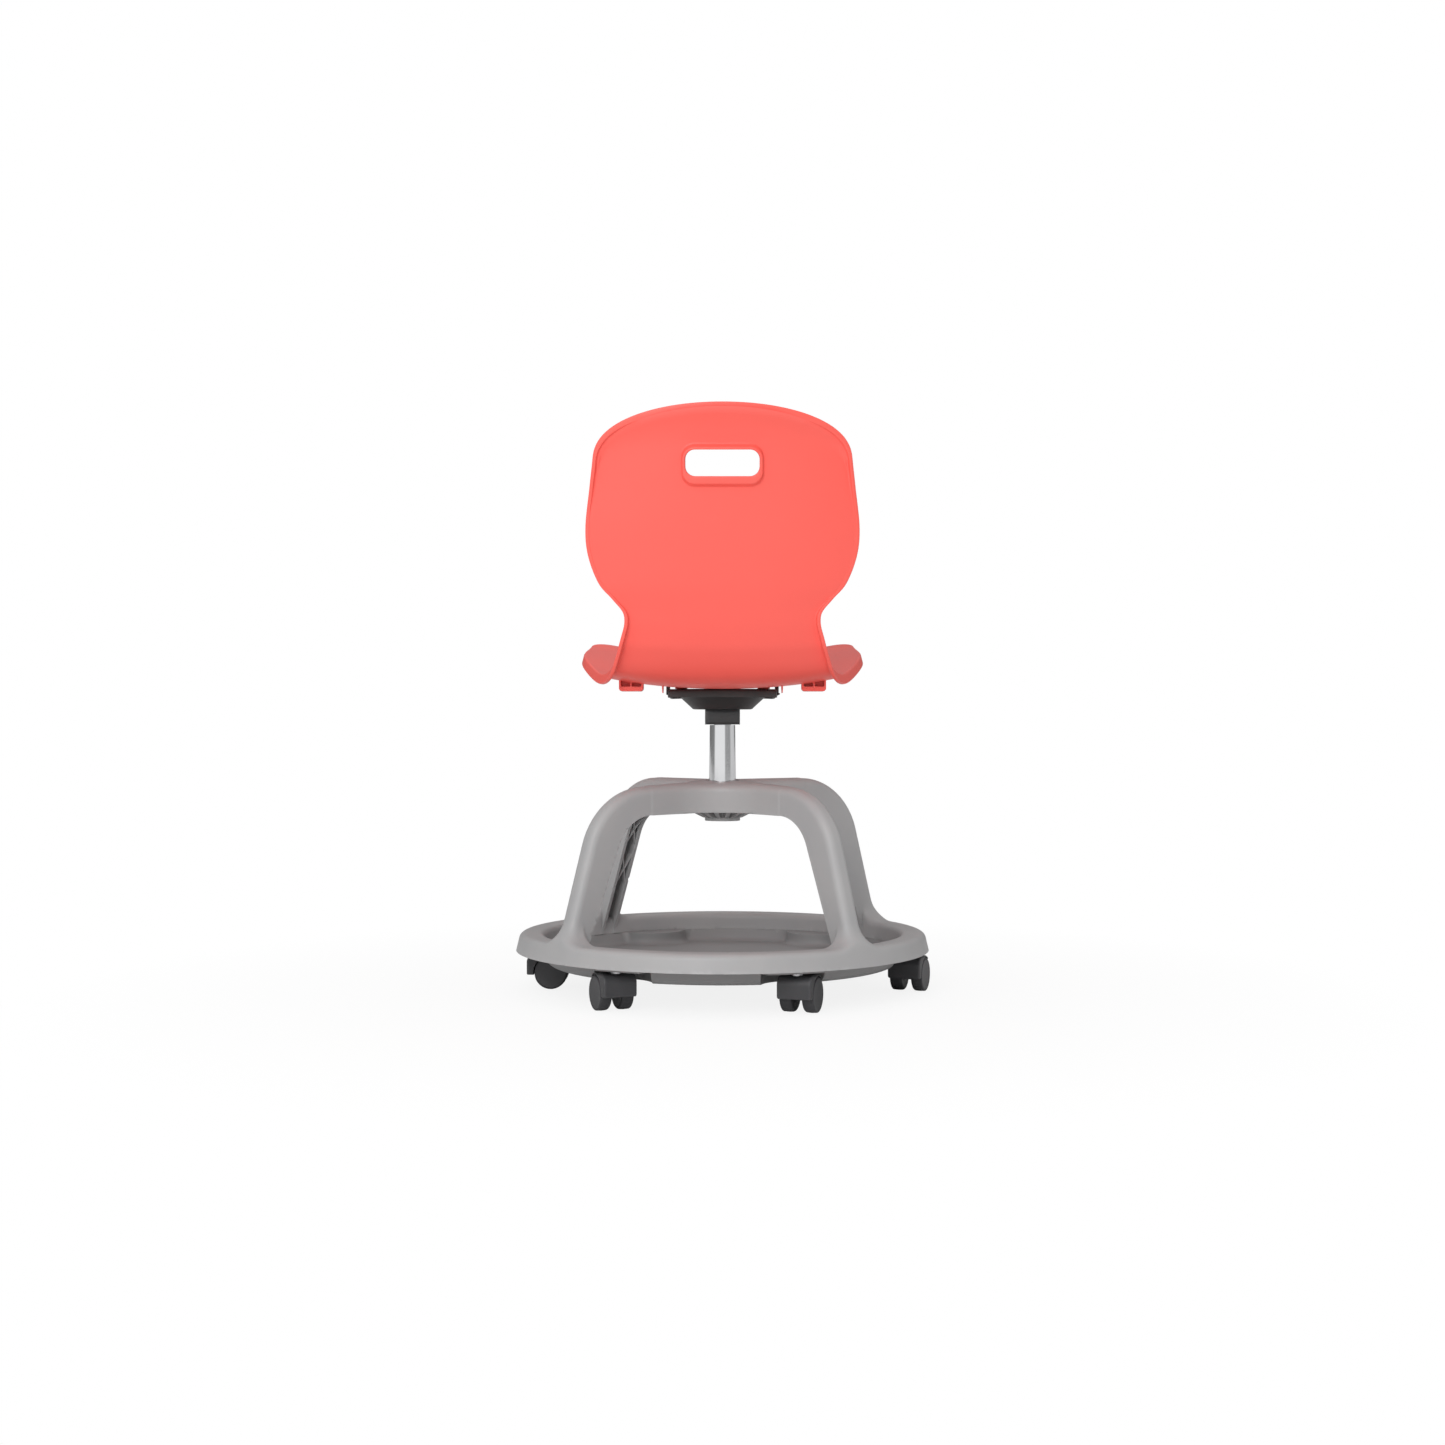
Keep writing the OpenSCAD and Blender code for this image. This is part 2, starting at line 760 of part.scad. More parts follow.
module seat_shell() {
    color(coral)
        difference() {
            union() {
                shell_body();
                difference() {
                    union() {
                        for (s = [-1, 1]) {
                            frame_clip(s);
                            translate([s * fin_x - 1, clip_y - 12, plate_top - 6])
                                cube([2, 20, 18]);
                        }
                        seat_holes()
                            translate([0, 0, plate_top + press])
                                cylinder(r = seat_boss_r, h = 40);
                    }
                    shell_above();
                }
            }
            translate([0, slot_reach, slot_z])
                rotate([-90, 0, 0])
                    linear_extrude(height = 2 * slot_through)
                        slot_shape();
            seat_holes()
                translate([0, 0, plate_top - eps])
                    cylinder(r = 3 - press, h = seat_screw_l + eps);
        }
}

// The space above the middle of the shell, which trims what is moulded under it
module shell_above() {
    count = (rows + 1) * (cols + 1);
    lid = 300;
    mid = [for (i = [0 : rows]) for (j = [0 : cols]) at([i, j], shell_t, shell_t / 2)];
    cap = [for (p = mid) [p.x, p.y, p.z + lid]];
    n = len(edge);
    down = [for (i = [0 : rows - 1]) for (j = [0 : cols - 1]) each
        let (a = grid_index(i, j), b = a + 1, c = grid_index(i + 1, j), d = c + 1)
        [[a, b, c], [b, d, c]]];
    up = [for (f = down) [f[0] + count, f[2] + count, f[1] + count]];
    sides = [for (k = [0 : n - 1]) each
        let (a = grid_index(edge[k][0], edge[k][1]),
             b = grid_index(edge[(k + 1) % n][0], edge[(k + 1) % n][1]))
        [[a, a + count, b], [b, a + count, b + count]]];
    polyhedron(points = concat(mid, cap), faces = concat(down, up, sides));
}

// ---------- castors: swivel axis at x = y = 0, axle across at y = -castor_trail ----------
module castor_sleeve() {
    color(near_black)
        difference() {
            union() {
                translate([0, 0, ring_z - tray_wall])
                    cylinder(r = sleeve_wall_r, h = sleeve_l + tray_wall - 1);
                translate([0, 0, tray_lid - sleeve_flange_t])
                    cylinder(r = sleeve_flange_r, h = sleeve_flange_t);
            }
            translate([0, 0, tray_lid - sleeve_flange_t - eps])
                cylinder(r = stem_d / 2 + fit, h = ring_h + tray_wall + 3 * eps);
        }
}

stem_foot = hood_foot + stem_seat;
module castor_stem() {
    color(steel)
        union() {
            translate([0, 0, stem_foot])
                cylinder(d = stem_d, h = ring_z + sleeve_l - 3 - stem_foot);
            translate([0, 0, hood_top])
                cylinder(d = stem_d + 6, h = castor_gap - sleeve_flange_t - face_gap);
        }
}

module hood_side() {
    axle = [-castor_trail, wheel_r];
    nose_top = [hood_nose, hood_top];
    polygon(concat(
        [[hood_nose - hood_toe, hood_foot], [hood_nose, hood_foot]],
        round_pts([hood_nose, hood_foot], nose_top, [-castor_trail, hood_top], hood_nose_r),
        arc_pts(axle, hood_r, 90, hood_end),
        [[-castor_trail - hood_web_toe, hood_web_foot],
         [-castor_trail + hood_web_heel, hood_web_foot]]));
}

module castor_hood() {
    color(dark_grey)
        difference() {
            rotate([90, 0, 90])
                linear_extrude(height = castor_w, center = true)
                    hood_side();
            for (s = [-1, 1])
                translate([s * (castor_w + hood_web) / 2, -castor_trail, wheel_r])
                    rotate([0, 90, 0])
                        cylinder(r = wheel_r + wheel_room, h = castor_w, center = true);
            translate([0, 0, stem_foot])
                cylinder(r = stem_d / 2 + press, h = hood_top);
            translate([0, -castor_trail, wheel_r])
                rotate([0, 90, 0])
                    cylinder(r = axle_d / 2 + press, h = 2 * castor_w, center = true);
        }
}

axle_grip = 11;
module castor_axle() {
    color(steel)
        translate([0, -castor_trail, wheel_r])
            rotate([0, 90, 0])
                cylinder(d = axle_d, h = hood_web + 2 * axle_grip, center = true);
}

// Wheel with its inner face on x = 0 and its closed outer face at x = wheel_w
module wheel_solid() {
    edge_round = 2;
    dish_r = wheel_r - 4;
    rotate([90, 0, 90])
        rotate_extrude($fn = 96)
            polygon(concat(
                [[axle_d / 2 + fit, 0]],
                arc_pts([wheel_r - edge_round, edge_round], edge_round, -90, 0, 5),
                arc_pts([wheel_r - edge_round, wheel_w - edge_round], edge_round, 0, 90, 5),
                [[dish_r, wheel_w], [dish_r - 0.6, wheel_w - 0.8], [dish_r - 1.8, wheel_w - 0.8],
                 [dish_r - 2.4, wheel_w], [0, wheel_w], [0, axle_grip + 1],
                 [axle_d / 2 + fit, axle_grip + 1]]));
}

module castor_wheel(side) {
    color(dark_grey)
        translate([side * (hood_web / 2 + wheel_gap), -castor_trail, wheel_r])
            rotate([0, 0, side > 0 ? 0 : 180])
                wheel_solid();
}

base_frame();
storage_tray();
tray_screws();
hub_sleeve();
column_tube();
column_foot();
lower_race();
thrust_balls();
upper_race();
lower_bush();
upper_bush();
spindle();
spindle_clip();
socket_block();
seat_pan();
seat_plate();
seat_screws();
seat_shell();
for (i = [0 : len(castor_names) - 1]) {
    c = castor_names[i];
    castor_place(i) castor_sleeve();
    castor_place(i) castor_stem();
    castor_place(i) castor_hood();
    castor_place(i) castor_axle();
    castor_place(i) castor_wheel(1);
    castor_place(i) castor_wheel(-1);
}
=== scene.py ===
# %% [markdown]
# # A swivel classroom chair, dressed over its CAD frame
# The chair has a one-piece plastic seat shell on a chromed swivel column. Under it an arched
# four-leg frame stands on a ring, with a storage tray in the ring and six twin-wheel castors.
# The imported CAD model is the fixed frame: it gives every place and size. What is made here are
# the softer, rounded skins of the moulded parts and a finish for each surface.

import functools
import json
import math

import bpy
import numpy as np
import openvdb
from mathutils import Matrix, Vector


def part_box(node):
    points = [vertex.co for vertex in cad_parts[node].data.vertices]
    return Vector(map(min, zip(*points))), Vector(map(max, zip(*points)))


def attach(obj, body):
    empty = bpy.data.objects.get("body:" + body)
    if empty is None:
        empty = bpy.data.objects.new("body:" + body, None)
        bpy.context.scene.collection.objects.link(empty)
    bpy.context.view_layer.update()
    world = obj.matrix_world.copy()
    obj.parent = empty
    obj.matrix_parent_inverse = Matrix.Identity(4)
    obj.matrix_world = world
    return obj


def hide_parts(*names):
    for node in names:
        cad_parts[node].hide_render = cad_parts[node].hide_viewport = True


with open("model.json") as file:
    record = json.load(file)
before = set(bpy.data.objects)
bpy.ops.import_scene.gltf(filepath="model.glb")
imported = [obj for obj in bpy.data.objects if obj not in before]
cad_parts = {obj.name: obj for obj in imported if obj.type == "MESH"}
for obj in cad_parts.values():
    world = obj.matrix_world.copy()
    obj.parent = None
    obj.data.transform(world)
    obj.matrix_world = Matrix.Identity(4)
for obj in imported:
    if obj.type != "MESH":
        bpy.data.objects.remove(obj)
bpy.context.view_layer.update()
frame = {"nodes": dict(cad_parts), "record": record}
MM = 0.001


def node_box(node):
    """Lowest and highest corner of a CAD node, in millimetres."""
    low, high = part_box(node)
    return np.array(low) / MM, np.array(high) / MM

# %% [markdown]
# ## The stage
# A studio would set the chair on a pale sweep of paper under large soft lamps. Here a wide
# floor and a bright world do the same. Both are small networks of shader nodes, so the first step
# is a few helpers that make nodes, set them and wire them up.

# %% Shader nodes and their wires
scene = bpy.context.scene
scene.view_settings.view_transform = "Standard"


def node_tree_of(thing):
    """An empty node tree on a material or a world."""
    thing.use_nodes = True
    thing.node_tree.nodes.clear()
    return thing.node_tree


def add_node(tree, kind, values=None, **properties):
    """A new shader node: the properties are set on it, and the values on its inputs by name."""
    node = tree.nodes.new("ShaderNode" + kind)
    for name, value in properties.items():
        setattr(node, name, value)
    for name, value in (values or {}).items():
        node.inputs[name].default_value = value
    return node


def wire(tree, *links):
    """Links, each given as (from node, its output, to node, its input)."""
    for source, output, target, entry in links:
        tree.links.new(source.outputs[output], target.inputs[entry])


def ramp(tree, stops):
    """A colour ramp node with (position, colour) stops."""
    node = add_node(tree, "ValToRGB")
    node.color_ramp.elements[0].position, node.color_ramp.elements[0].color = stops[0]
    node.color_ramp.elements[1].position, node.color_ramp.elements[1].color = stops[-1]
    for position, colour in stops[1:-1]:
        node.color_ramp.elements.new(position).color = colour
    return node


def grey(value):
    """An opaque colour with the same red, green and blue."""
    return (value, value, value, 1)

# %% [markdown]
# The world is not even. It changes with the bearing, because a chromed tube needs something dark
# to mirror before it reads as chrome. The camera itself sees plain white past the floor.

# %% The world
# how bright the horizon is once round, from (share of the turn, brightness)
HORIZON = ((0.0, 0.2), (0.12, 0.22), (0.17, 0.7), (0.28, 0.7), (0.31, 0.36), (0.425, 0.4),
           (0.45, 1.0), (0.685, 1.0), (0.72, 0.26), (0.95, 0.16), (1.0, 0.2))
OVERHEAD, WORLD_STRENGTH = 0.72, 0.85


def make_world():
    """Bright overhead. Near the horizon it changes with the bearing: a white panel behind the
    camera and to its left, mid grey to its right, and dark behind the chair."""
    world = bpy.data.worlds.new("soft_studio")
    scene.world = world
    tree = node_tree_of(world)
    place, split = add_node(tree, "TexCoord"), add_node(tree, "SeparateXYZ")
    bearing = add_node(tree, "Math", operation="ARCTAN2")
    turn = add_node(tree, "MapRange", {"From Min": -math.pi, "From Max": math.pi})
    panels = ramp(tree, [(share, grey(bright)) for share, bright in HORIZON])
    height = ramp(tree, [(0.12, grey(0)), (0.6, grey(1))])
    dome = add_node(tree, "Mix", {"B": grey(OVERHEAD)}, data_type="RGBA")
    lit = add_node(tree, "Background", {"Strength": WORLD_STRENGTH})
    plain = add_node(tree, "Background", {"Color": grey(1.0)})
    seen, mix = add_node(tree, "LightPath"), add_node(tree, "MixShader")
    out = add_node(tree, "OutputWorld")
    wire(tree, (place, "Generated", split, 0), (split, "X", bearing, 0), (split, "Y", bearing, 1),
         (bearing, 0, turn, "Value"), (turn, 0, panels, 0), (split, "Z", height, 0),
         (height, 0, dome, "Factor"), (panels, 0, dome, "A"), (dome, "Result", lit, "Color"),
         (seen, "Is Camera Ray", mix, 0), (lit, 0, mix, 1), (plain, 0, mix, 2), (mix, 0, out, 0))


make_world()
print("steps of the horizon:", len(HORIZON))

# %% [markdown]
# The floor is one large square. It fades to white away from the chair, so no horizon line shows.
# One broad lamp over the camera's side gives the main light, and a weak one above fills the seat.

# %% Floor, lamps and camera
FLOOR_REACH = 60.0


def soft_lamp(name, place, size, power):
    """A square area lamp at `place` that faces the middle of the chair."""
    data = bpy.data.lights.new(name, "AREA")
    data.size, data.energy = size, power
    lamp = bpy.data.objects.new(name, data)
    lamp.location = place
    aim = np.array([0, 0, 0.4]) - np.array(place)
    lamp.rotation_euler = (math.acos(-aim[2] / np.linalg.norm(aim)), 0,
                           math.atan2(-aim[0], aim[1]))
    scene.collection.objects.link(lamp)


def make_floor():
    """A square floor of one quad, far wider than the view. Seen by the camera it fades from paper
    under the chair to plain white, and for the light that it throws back it is paper."""
    mesh = bpy.data.meshes.new("floor")
    r = FLOOR_REACH
    mesh.from_pydata([(-r, -r, 0), (r, -r, 0), (r, r, 0), (-r, r, 0)], [], [(0, 1, 2, 3)])
    floor = bpy.data.objects.new("floor", mesh)
    scene.collection.objects.link(floor)
    material = bpy.data.materials.new("pale_floor")
    tree = node_tree_of(material)
    place, far = add_node(tree, "TexCoord"), add_node(tree, "VectorMath", operation="LENGTH")
    spread = add_node(tree, "MapRange", {"From Min": 0.2, "From Max": 1.0,
                                         "To Min": 0.86, "To Max": 1.0})
    paper = add_node(tree, "BsdfDiffuse", {"Color": grey(0.95)})
    bounce = add_node(tree, "BsdfDiffuse", {"Color": grey(0.95)})
    glow, seen = add_node(tree, "Emission"), add_node(tree, "LightPath")
    near, mix = add_node(tree, "MixShader"), add_node(tree, "MixShader")
    out = add_node(tree, "OutputMaterial")
    wire(tree, (place, "Object", far, 0), (far, "Value", spread, "Value"), (spread, 0, near, 0),
         (paper, 0, near, 1), (glow, 0, near, 2), (seen, "Is Camera Ray", mix, 0),
         (bounce, 0, mix, 1), (near, 0, mix, 2), (mix, 0, out, 0))
    mesh.materials.append(material)


make_floor()
soft_lamp("key", (0.9, 3.2, 1.9), 1.6, 47)
soft_lamp("top", (0.0, 0.8, 3.2), 2.2, 5)

camera_data = bpy.data.cameras.new("camera")
# the view is VIEW_WIDTH wide where it is VIEW_AWAY from the camera
FRAME_WIDTH, VIEW_WIDTH, VIEW_AWAY = 36.0, 1.445, 1.917
camera_data.sensor_width = FRAME_WIDTH
camera_data.lens = FRAME_WIDTH * VIEW_AWAY / VIEW_WIDTH
camera_data.clip_end = 200
camera = bpy.data.objects.new("camera", camera_data)
camera.location = (0, 2.8, 0.388)
camera.rotation_euler = (math.radians(90), 0, math.radians(180))
scene.collection.objects.link(camera)
scene.camera = camera
print("lens in mm:", round(camera_data.lens, 2))

# %% [markdown]
# ## Finishes
# Every surface gets one procedural material. All of them are built the same way: a broad cloudy
# noise moves the colour a little, as resin and handling do, a fine noise makes the moulded grain
# as bump, and the same fine noise makes the gloss uneven. The patterns read Object coordinates,
# in metres, so they are the same size on every part.

# %% A maker of finishes
finishes = {}


def finish(name, colours, gloss, grain=(900, 0.12), cloud=14, metallic=0.0, edge=0.0):
    """Broad noise ramps between two colours, fine noise of (scale, bump) drives bump and roughness
    between the two `gloss` values, and convex edges, found by pointiness, are lightened by `edge`
    as a painted highlight."""
    material = bpy.data.materials.new(name)
    tree = node_tree_of(material)
    place, out = add_node(tree, "TexCoord"), add_node(tree, "OutputMaterial")
    broad = add_node(tree, "TexNoise", {"Scale": cloud, "Detail": 3})
    fine = add_node(tree, "TexNoise", {"Scale": grain[0], "Detail": 2})
    tint = ramp(tree, [(0.3, (*colours[0], 1)), (0.7, (*colours[1], 1))])
    rough = add_node(tree, "MapRange", {"From Min": 0.3, "From Max": 0.7,
                                        "To Min": gloss[0], "To Max": gloss[1]})
    bump = add_node(tree, "Bump", {"Strength": grain[1], "Distance": 0.0004})
    shader = add_node(tree, "BsdfPrincipled", {"Metallic": metallic})
    wire(tree, (place, "Object", broad, "Vector"), (place, "Object", fine, "Vector"),
         (broad, "Fac", tint, 0), (fine, "Fac", rough, "Value"), (fine, "Fac", bump, "Height"))
    # painted highlight: convex edges, found by pointiness, are screened towards grey by the share
    # `edge`
    if edge:
        shape = add_node(tree, "NewGeometry")
        where = ramp(tree, [(0.5, grey(0)), (0.6, grey(edge))])
        painted_edge_highlight = add_node(tree, "Mix", {"B": grey(0.5)}, data_type="RGBA", blend_type="SCREEN")
        wire(tree, (shape, "Pointiness", where, 0), (where, 0, painted_edge_highlight, "Factor"),
             (tint, 0, painted_edge_highlight, "A"), (painted_edge_highlight, "Result", shader, "Base Color"))
    else:
        wire(tree, (tint, 0, shader, "Base Color"))
    wire(tree, (rough, 0, shader, "Roughness"), (bump, 0, shader, "Normal"), (shader, 0, out, 0))
    finishes[name] = material

# %% [markdown]
# The moulded plastics are polypropylene with a fine even grain: coral for the shell, mid grey for
# the frame and the tray. The castors are glass-filled nylon, a little rougher. The seat's metal
# mount is black powder coat, the column is polished chrome, and the hidden fixings are zinc.

# %% The chair's finishes
# edge is how much each finish lightens its convex edges, a painted highlight
finish("shell_coral", ((0.985, 0.119, 0.092), (1.0, 0.125, 0.097)), (0.36, 0.44), (1400, 0.08),
       cloud=5, edge=0.04)
finish("frame_grey", ((0.385, 0.385, 0.39), (0.415, 0.412, 0.412)), (0.40, 0.52), (1200, 0.14),
       edge=0.12)
finish("tray_grey", ((0.262, 0.262, 0.266), (0.284, 0.282, 0.282)), (0.44, 0.56), (1200, 0.14),
       edge=0.10)
finish("hood_black", ((0.036, 0.036, 0.039), (0.048, 0.048, 0.052)), (0.42, 0.58), (1500, 0.2),
       edge=0.10)
finish("wheel_grey", ((0.052, 0.052, 0.055), (0.066, 0.066, 0.07)), (0.45, 0.6), (1500, 0.16),
       edge=0.08)
finish("plate_black", ((0.015, 0.012, 0.012), (0.024, 0.02, 0.02)), (0.4, 0.55), (1800, 0.3),
       edge=0.08)
finish("block_black", ((0.010, 0.010, 0.011), (0.016, 0.016, 0.018)), (0.34, 0.46), (1600, 0.2),
       edge=0.08)
finish("column_chrome", ((0.86, 0.865, 0.88), (0.90, 0.905, 0.915)), (0.05, 0.10), (500, 0.01),
       metallic=1.0)
finish("zinc_steel", ((0.50, 0.51, 0.53), (0.62, 0.63, 0.64)), (0.28, 0.42), (700, 0.06),
       metallic=1.0, cloud=60)
finish("bearing_steel", ((0.55, 0.56, 0.58), (0.62, 0.63, 0.65)), (0.14, 0.24), (900, 0.03),
       metallic=1.0, cloud=80)
finish("bush_acetal", ((0.80, 0.80, 0.76), (0.86, 0.86, 0.83)), (0.34, 0.44), (1200, 0.06))
finish("sleeve_black", ((0.02, 0.02, 0.022), (0.03, 0.03, 0.032)), (0.45, 0.6), (1500, 0.15))
print("finishes:", ", ".join(sorted(finishes)))

slot_of = {entry["node"]: entry["material_slot"] for entry in frame["record"]["subparts"]}
for name, item in frame["nodes"].items():
    item.data.materials.clear()
    item.data.materials.append(finishes[slot_of[name]])

# %% [markdown]
# ## From arrays to pieces
# Each new piece is worked out as whole arrays of points, in millimetres, and then handed to one
# helper. The helper scales them to metres, makes the faces, shades them smooth with crisp corners
# where faces meet sharply, hangs the piece from the body it rides on and hides the CAD nodes it
# stands for.

# %% Helpers that turn arrays into meshes


def piece(name, points, faces, body, slot, stands_for=(), crisp=40):
    """A mesh object from an (n, 3) array in mm and lists of faces, riding on a CAD body."""
    mesh = bpy.data.meshes.new(name)
    rows = [np.asarray(f, np.int32) for f in faces if len(f)]
    counts = np.concatenate([np.full(len(f), f.shape[1], np.int32) for f in rows])
    loops = np.concatenate([f.reshape(-1) for f in rows])
    mesh.vertices.add(len(points))
    mesh.vertices.foreach_set("co", (np.asarray(points, float) * MM).astype(np.float32).ravel())
    mesh.loops.add(len(loops))
    mesh.loops.foreach_set("vertex_index", loops)
    mesh.polygons.add(len(counts))
    starts = np.concatenate([[0], np.cumsum(counts)[:-1]]).astype(np.int32)
    mesh.polygons.foreach_set("loop_start", starts)
    mesh.update(calc_edges=True)
    mesh.validate()
    mesh.polygons.foreach_set("use_smooth", np.ones(len(mesh.polygons), bool))
    mesh.set_sharp_from_angle(angle=math.radians(crisp))
    mesh.materials.append(finishes[slot])
    item = bpy.data.objects.new(name, mesh)
    scene.collection.objects.link(item)
    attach(item, body)
    if stands_for:
        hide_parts(*stands_for)
    return item


def grid_faces(rows, cols, wrap=False):
    """Quads of a rows x cols grid of points. With wrap the last column joins the first."""
    index = np.arange(rows * cols).reshape(rows, cols)
    right = np.roll(index, -1, axis=1) if wrap else index[:, 1:]
    left = index if wrap else index[:, :-1]
    return np.stack([left[:-1], right[:-1], right[1:], left[1:]], -1).reshape(-1, 4)


def report(item):
    """Prints a piece's name, its width, depth and height in mm, and how many faces it has."""
    co = np.empty(len(item.data.vertices) * 3, np.float32)
    item.data.vertices.foreach_get("co", co)
    co = co.reshape(-1, 3) / MM
    size = [round(float(v), 1) for v in co.max(0) - co.min(0)]
    print(item.name, "size in mm", size, "faces", len(item.data.polygons))


def weld(points, faces):
    """Points that share a place, to a thousandth of a millimetre, become one point."""
    keys = np.round(points, 3) + 0.0
    _, first, index = np.unique(keys, axis=0, return_index=True, return_inverse=True)
    index = index.reshape(-1)
    kept = []
    for block in faces:
        block = index[block]
        flat = (block == np.roll(block, 1, axis=1)).any(axis=1)
        kept.append(block[~flat])
        if block.shape[1] == 4 and flat.any():
            for row in block[flat]:
                corners = list(dict.fromkeys(row.tolist()))
                if len(corners) == 3:
                    kept.append(np.array([corners]))
    return points[first], kept


def joined(parts):
    """Several (points, faces) as one: points stacked and face numbers moved on."""
    points, faces, start = [], [], 0
    for part_points, part_faces in parts:
        points.append(part_points)
        faces += [f + start for f in part_faces]
        start += len(part_points)
    return np.vstack(points), faces

# %% [markdown]
# ## Forms written as distance fields
# Where moulded forms flow into each other, separate swept pieces would leave hard seams. Such a
# form is written as a distance field instead: for every point of space, a number that is negative
# inside the plastic and positive outside. Two forms join with a fillet where their distances are
# blended, and a wall is what is left when the same field, a wall's thickness further in, is taken
# away.

# %% Distances that the moulded forms are built from


def bend_distance(r, z, before, corner, after, radius):
    """Distance from a line that runs from `before` to `corner`, turns there on an arc of `radius`
    and runs on to `after`. Positive on the outer side of the bend."""
    corner = np.array(corner, float)
    a, b = (np.array(p, float) - corner for p in (before, after))
    a, b = a / np.hypot(*a), b / np.hypot(*b)
    n1, n2 = -(b - (b @ a) * a), -(a - (a @ b) * b)
    n1, n2 = n1 / np.hypot(*n1), n2 / np.hypot(*n2)
    half = math.acos(a @ b) / 2
    middle_way = (a + b) / np.hypot(*(a + b))
    centre = corner + middle_way * radius / math.sin(half)
    straight = np.maximum((r - corner[0]) * n1[0] + (z - corner[1]) * n1[1],
                          (r - corner[0]) * n2[0] + (z - corner[1]) * n2[1])
    dr, dz = r - centre[0], z - centre[1]
    on_arc = (-(dr * a[0] + dz * a[1]) > 0) & (-(dr * b[0] + dz * b[1]) > 0)
    return np.where(on_arc, np.hypot(dr, dz) - radius, straight)


def in_all(*fields):
    """Inside every one of the fields, the largest distance."""
    return functools.reduce(np.maximum, fields)


def in_any(*fields):
    """Inside at least one of the fields, the smallest distance."""
    return functools.reduce(np.minimum, fields)


def round_both(p, q, radius):
    """Inside both, with the shared edge rounded to `radius`."""
    p, q = p + radius, q + radius
    return np.minimum(np.maximum(p, q), 0) + np.hypot(np.maximum(p, 0), np.maximum(q, 0)) - radius


def soft_both(p, q, width):
    """Inside both, the larger distance, with the edge softened over `width`."""
    h = np.maximum(width - np.abs(p - q), 0) / width
    return np.maximum(p, q) + h * h * width / 4


def soft_either(p, q, width):
    """Inside either, the smaller distance, with a fillet where they come within `width`."""
    h = np.maximum(width - np.abs(p - q), 0) / width
    return np.minimum(p, q) - h * h * width / 4

# %% [markdown]
# The surface where a field is zero is read off as a mesh on a regular grid of places. Its points
# lie a little off the real surface and cut every edge short, so each of them is then settled onto
# the surface by the field's own slope.

# %% Reading a field off as a mesh


def settled(points, field, voxel):
    """Each point moves to where the nearby pieces of surface meet. Places round it are put on the
    surface along the field's slope and each gives a plane. Those on the far side of a thin wall
    are left out. The point nearest to all the planes is found by least squares, so flat faces
    stay flat and edges stay crisp."""
    step, reach = 0.02 * voxel, 0.32 * voxel
    corners = reach * np.array([[i, j, k] for i in (-1, 1) for j in (-1, 1) for k in (-1, 1)]
                               + [[0, 0, 0]])
    places = points[:, None, :] + corners
    value = field(*np.moveaxis(places, -1, 0))
    slope = np.stack([field(*np.moveaxis(places + step * axis, -1, 0)) - value
                      for axis in np.eye(3)], -1) / step
    slope /= np.maximum(np.linalg.norm(slope, axis=-1, keepdims=True), 1e-6)
    same_side = (np.einsum("nkd,nd->nk", slope, slope[:, -1]) > -0.3).astype(float)
    on_it = places - value[..., None] * slope
    total = same_side.sum(axis=1)
    middle_of = np.einsum("nk,nkd->nd", same_side, on_it) / total[:, None]
    offset = np.einsum("nkd,nkd->nk", slope, on_it - middle_of[:, None, :]) * same_side
    matrix = np.einsum("nk,nki,nkj->nij", same_side, slope, slope) + 0.08 * np.eye(3)
    move = np.linalg.solve(matrix, np.einsum("nki,nk->ni", slope, offset)[..., None])[..., 0]
    size = np.linalg.norm(move, axis=1, keepdims=True)
    return middle_of + move * np.minimum(1, 0.9 * voxel / np.maximum(size, 1e-9))


def skin_of(field, low, high, voxel):
    """The zero surface of a field: sampled on a grid, read off as quads with faces outwards, and
    its points settled onto the exact surface."""
    low, count = np.array(low, float), [int((h - l) / voxel) + 2 for l, h in zip(low, high)]
    x, y, z = (np.arange(n, dtype=np.float32) * voxel + l for l, n in zip(low, count))
    band = 3 * voxel
    sampled = np.clip(field(x[:, None, None], y[None, :, None], z[None, None, :]), -band, band)
    grid = openvdb.FloatGrid(float(band))
    grid.copyFromArray(np.ascontiguousarray(sampled, dtype=np.float32))
    points, quads = grid.convertToQuads(0.0)
    points = low + points.astype(float) * voxel
    a, b, c, d = (points[quads[:, k]] for k in range(4))
    volume = np.einsum("ij,ij->i", a, np.cross(b, c)) + np.einsum("ij,ij->i", a, np.cross(c, d))
    quads = quads if volume.sum() > 0 else quads[:, ::-1]
    for _ in range(2):
        points = settled(points, field, voxel)
    return points, quads

# %% [markdown]
# ## The seat shell
# The real shell is one injection moulding: the seat turns up into the backrest, the edge is rolled
# into a lip, and a hand hole with a raised rim goes through the back. A sculptor might pull it from
# a box, but a formula is exact and can be tuned. A smooth curve through stations on the middle line
# gives the side view, and each station carries a half width and how far the edge rises there.

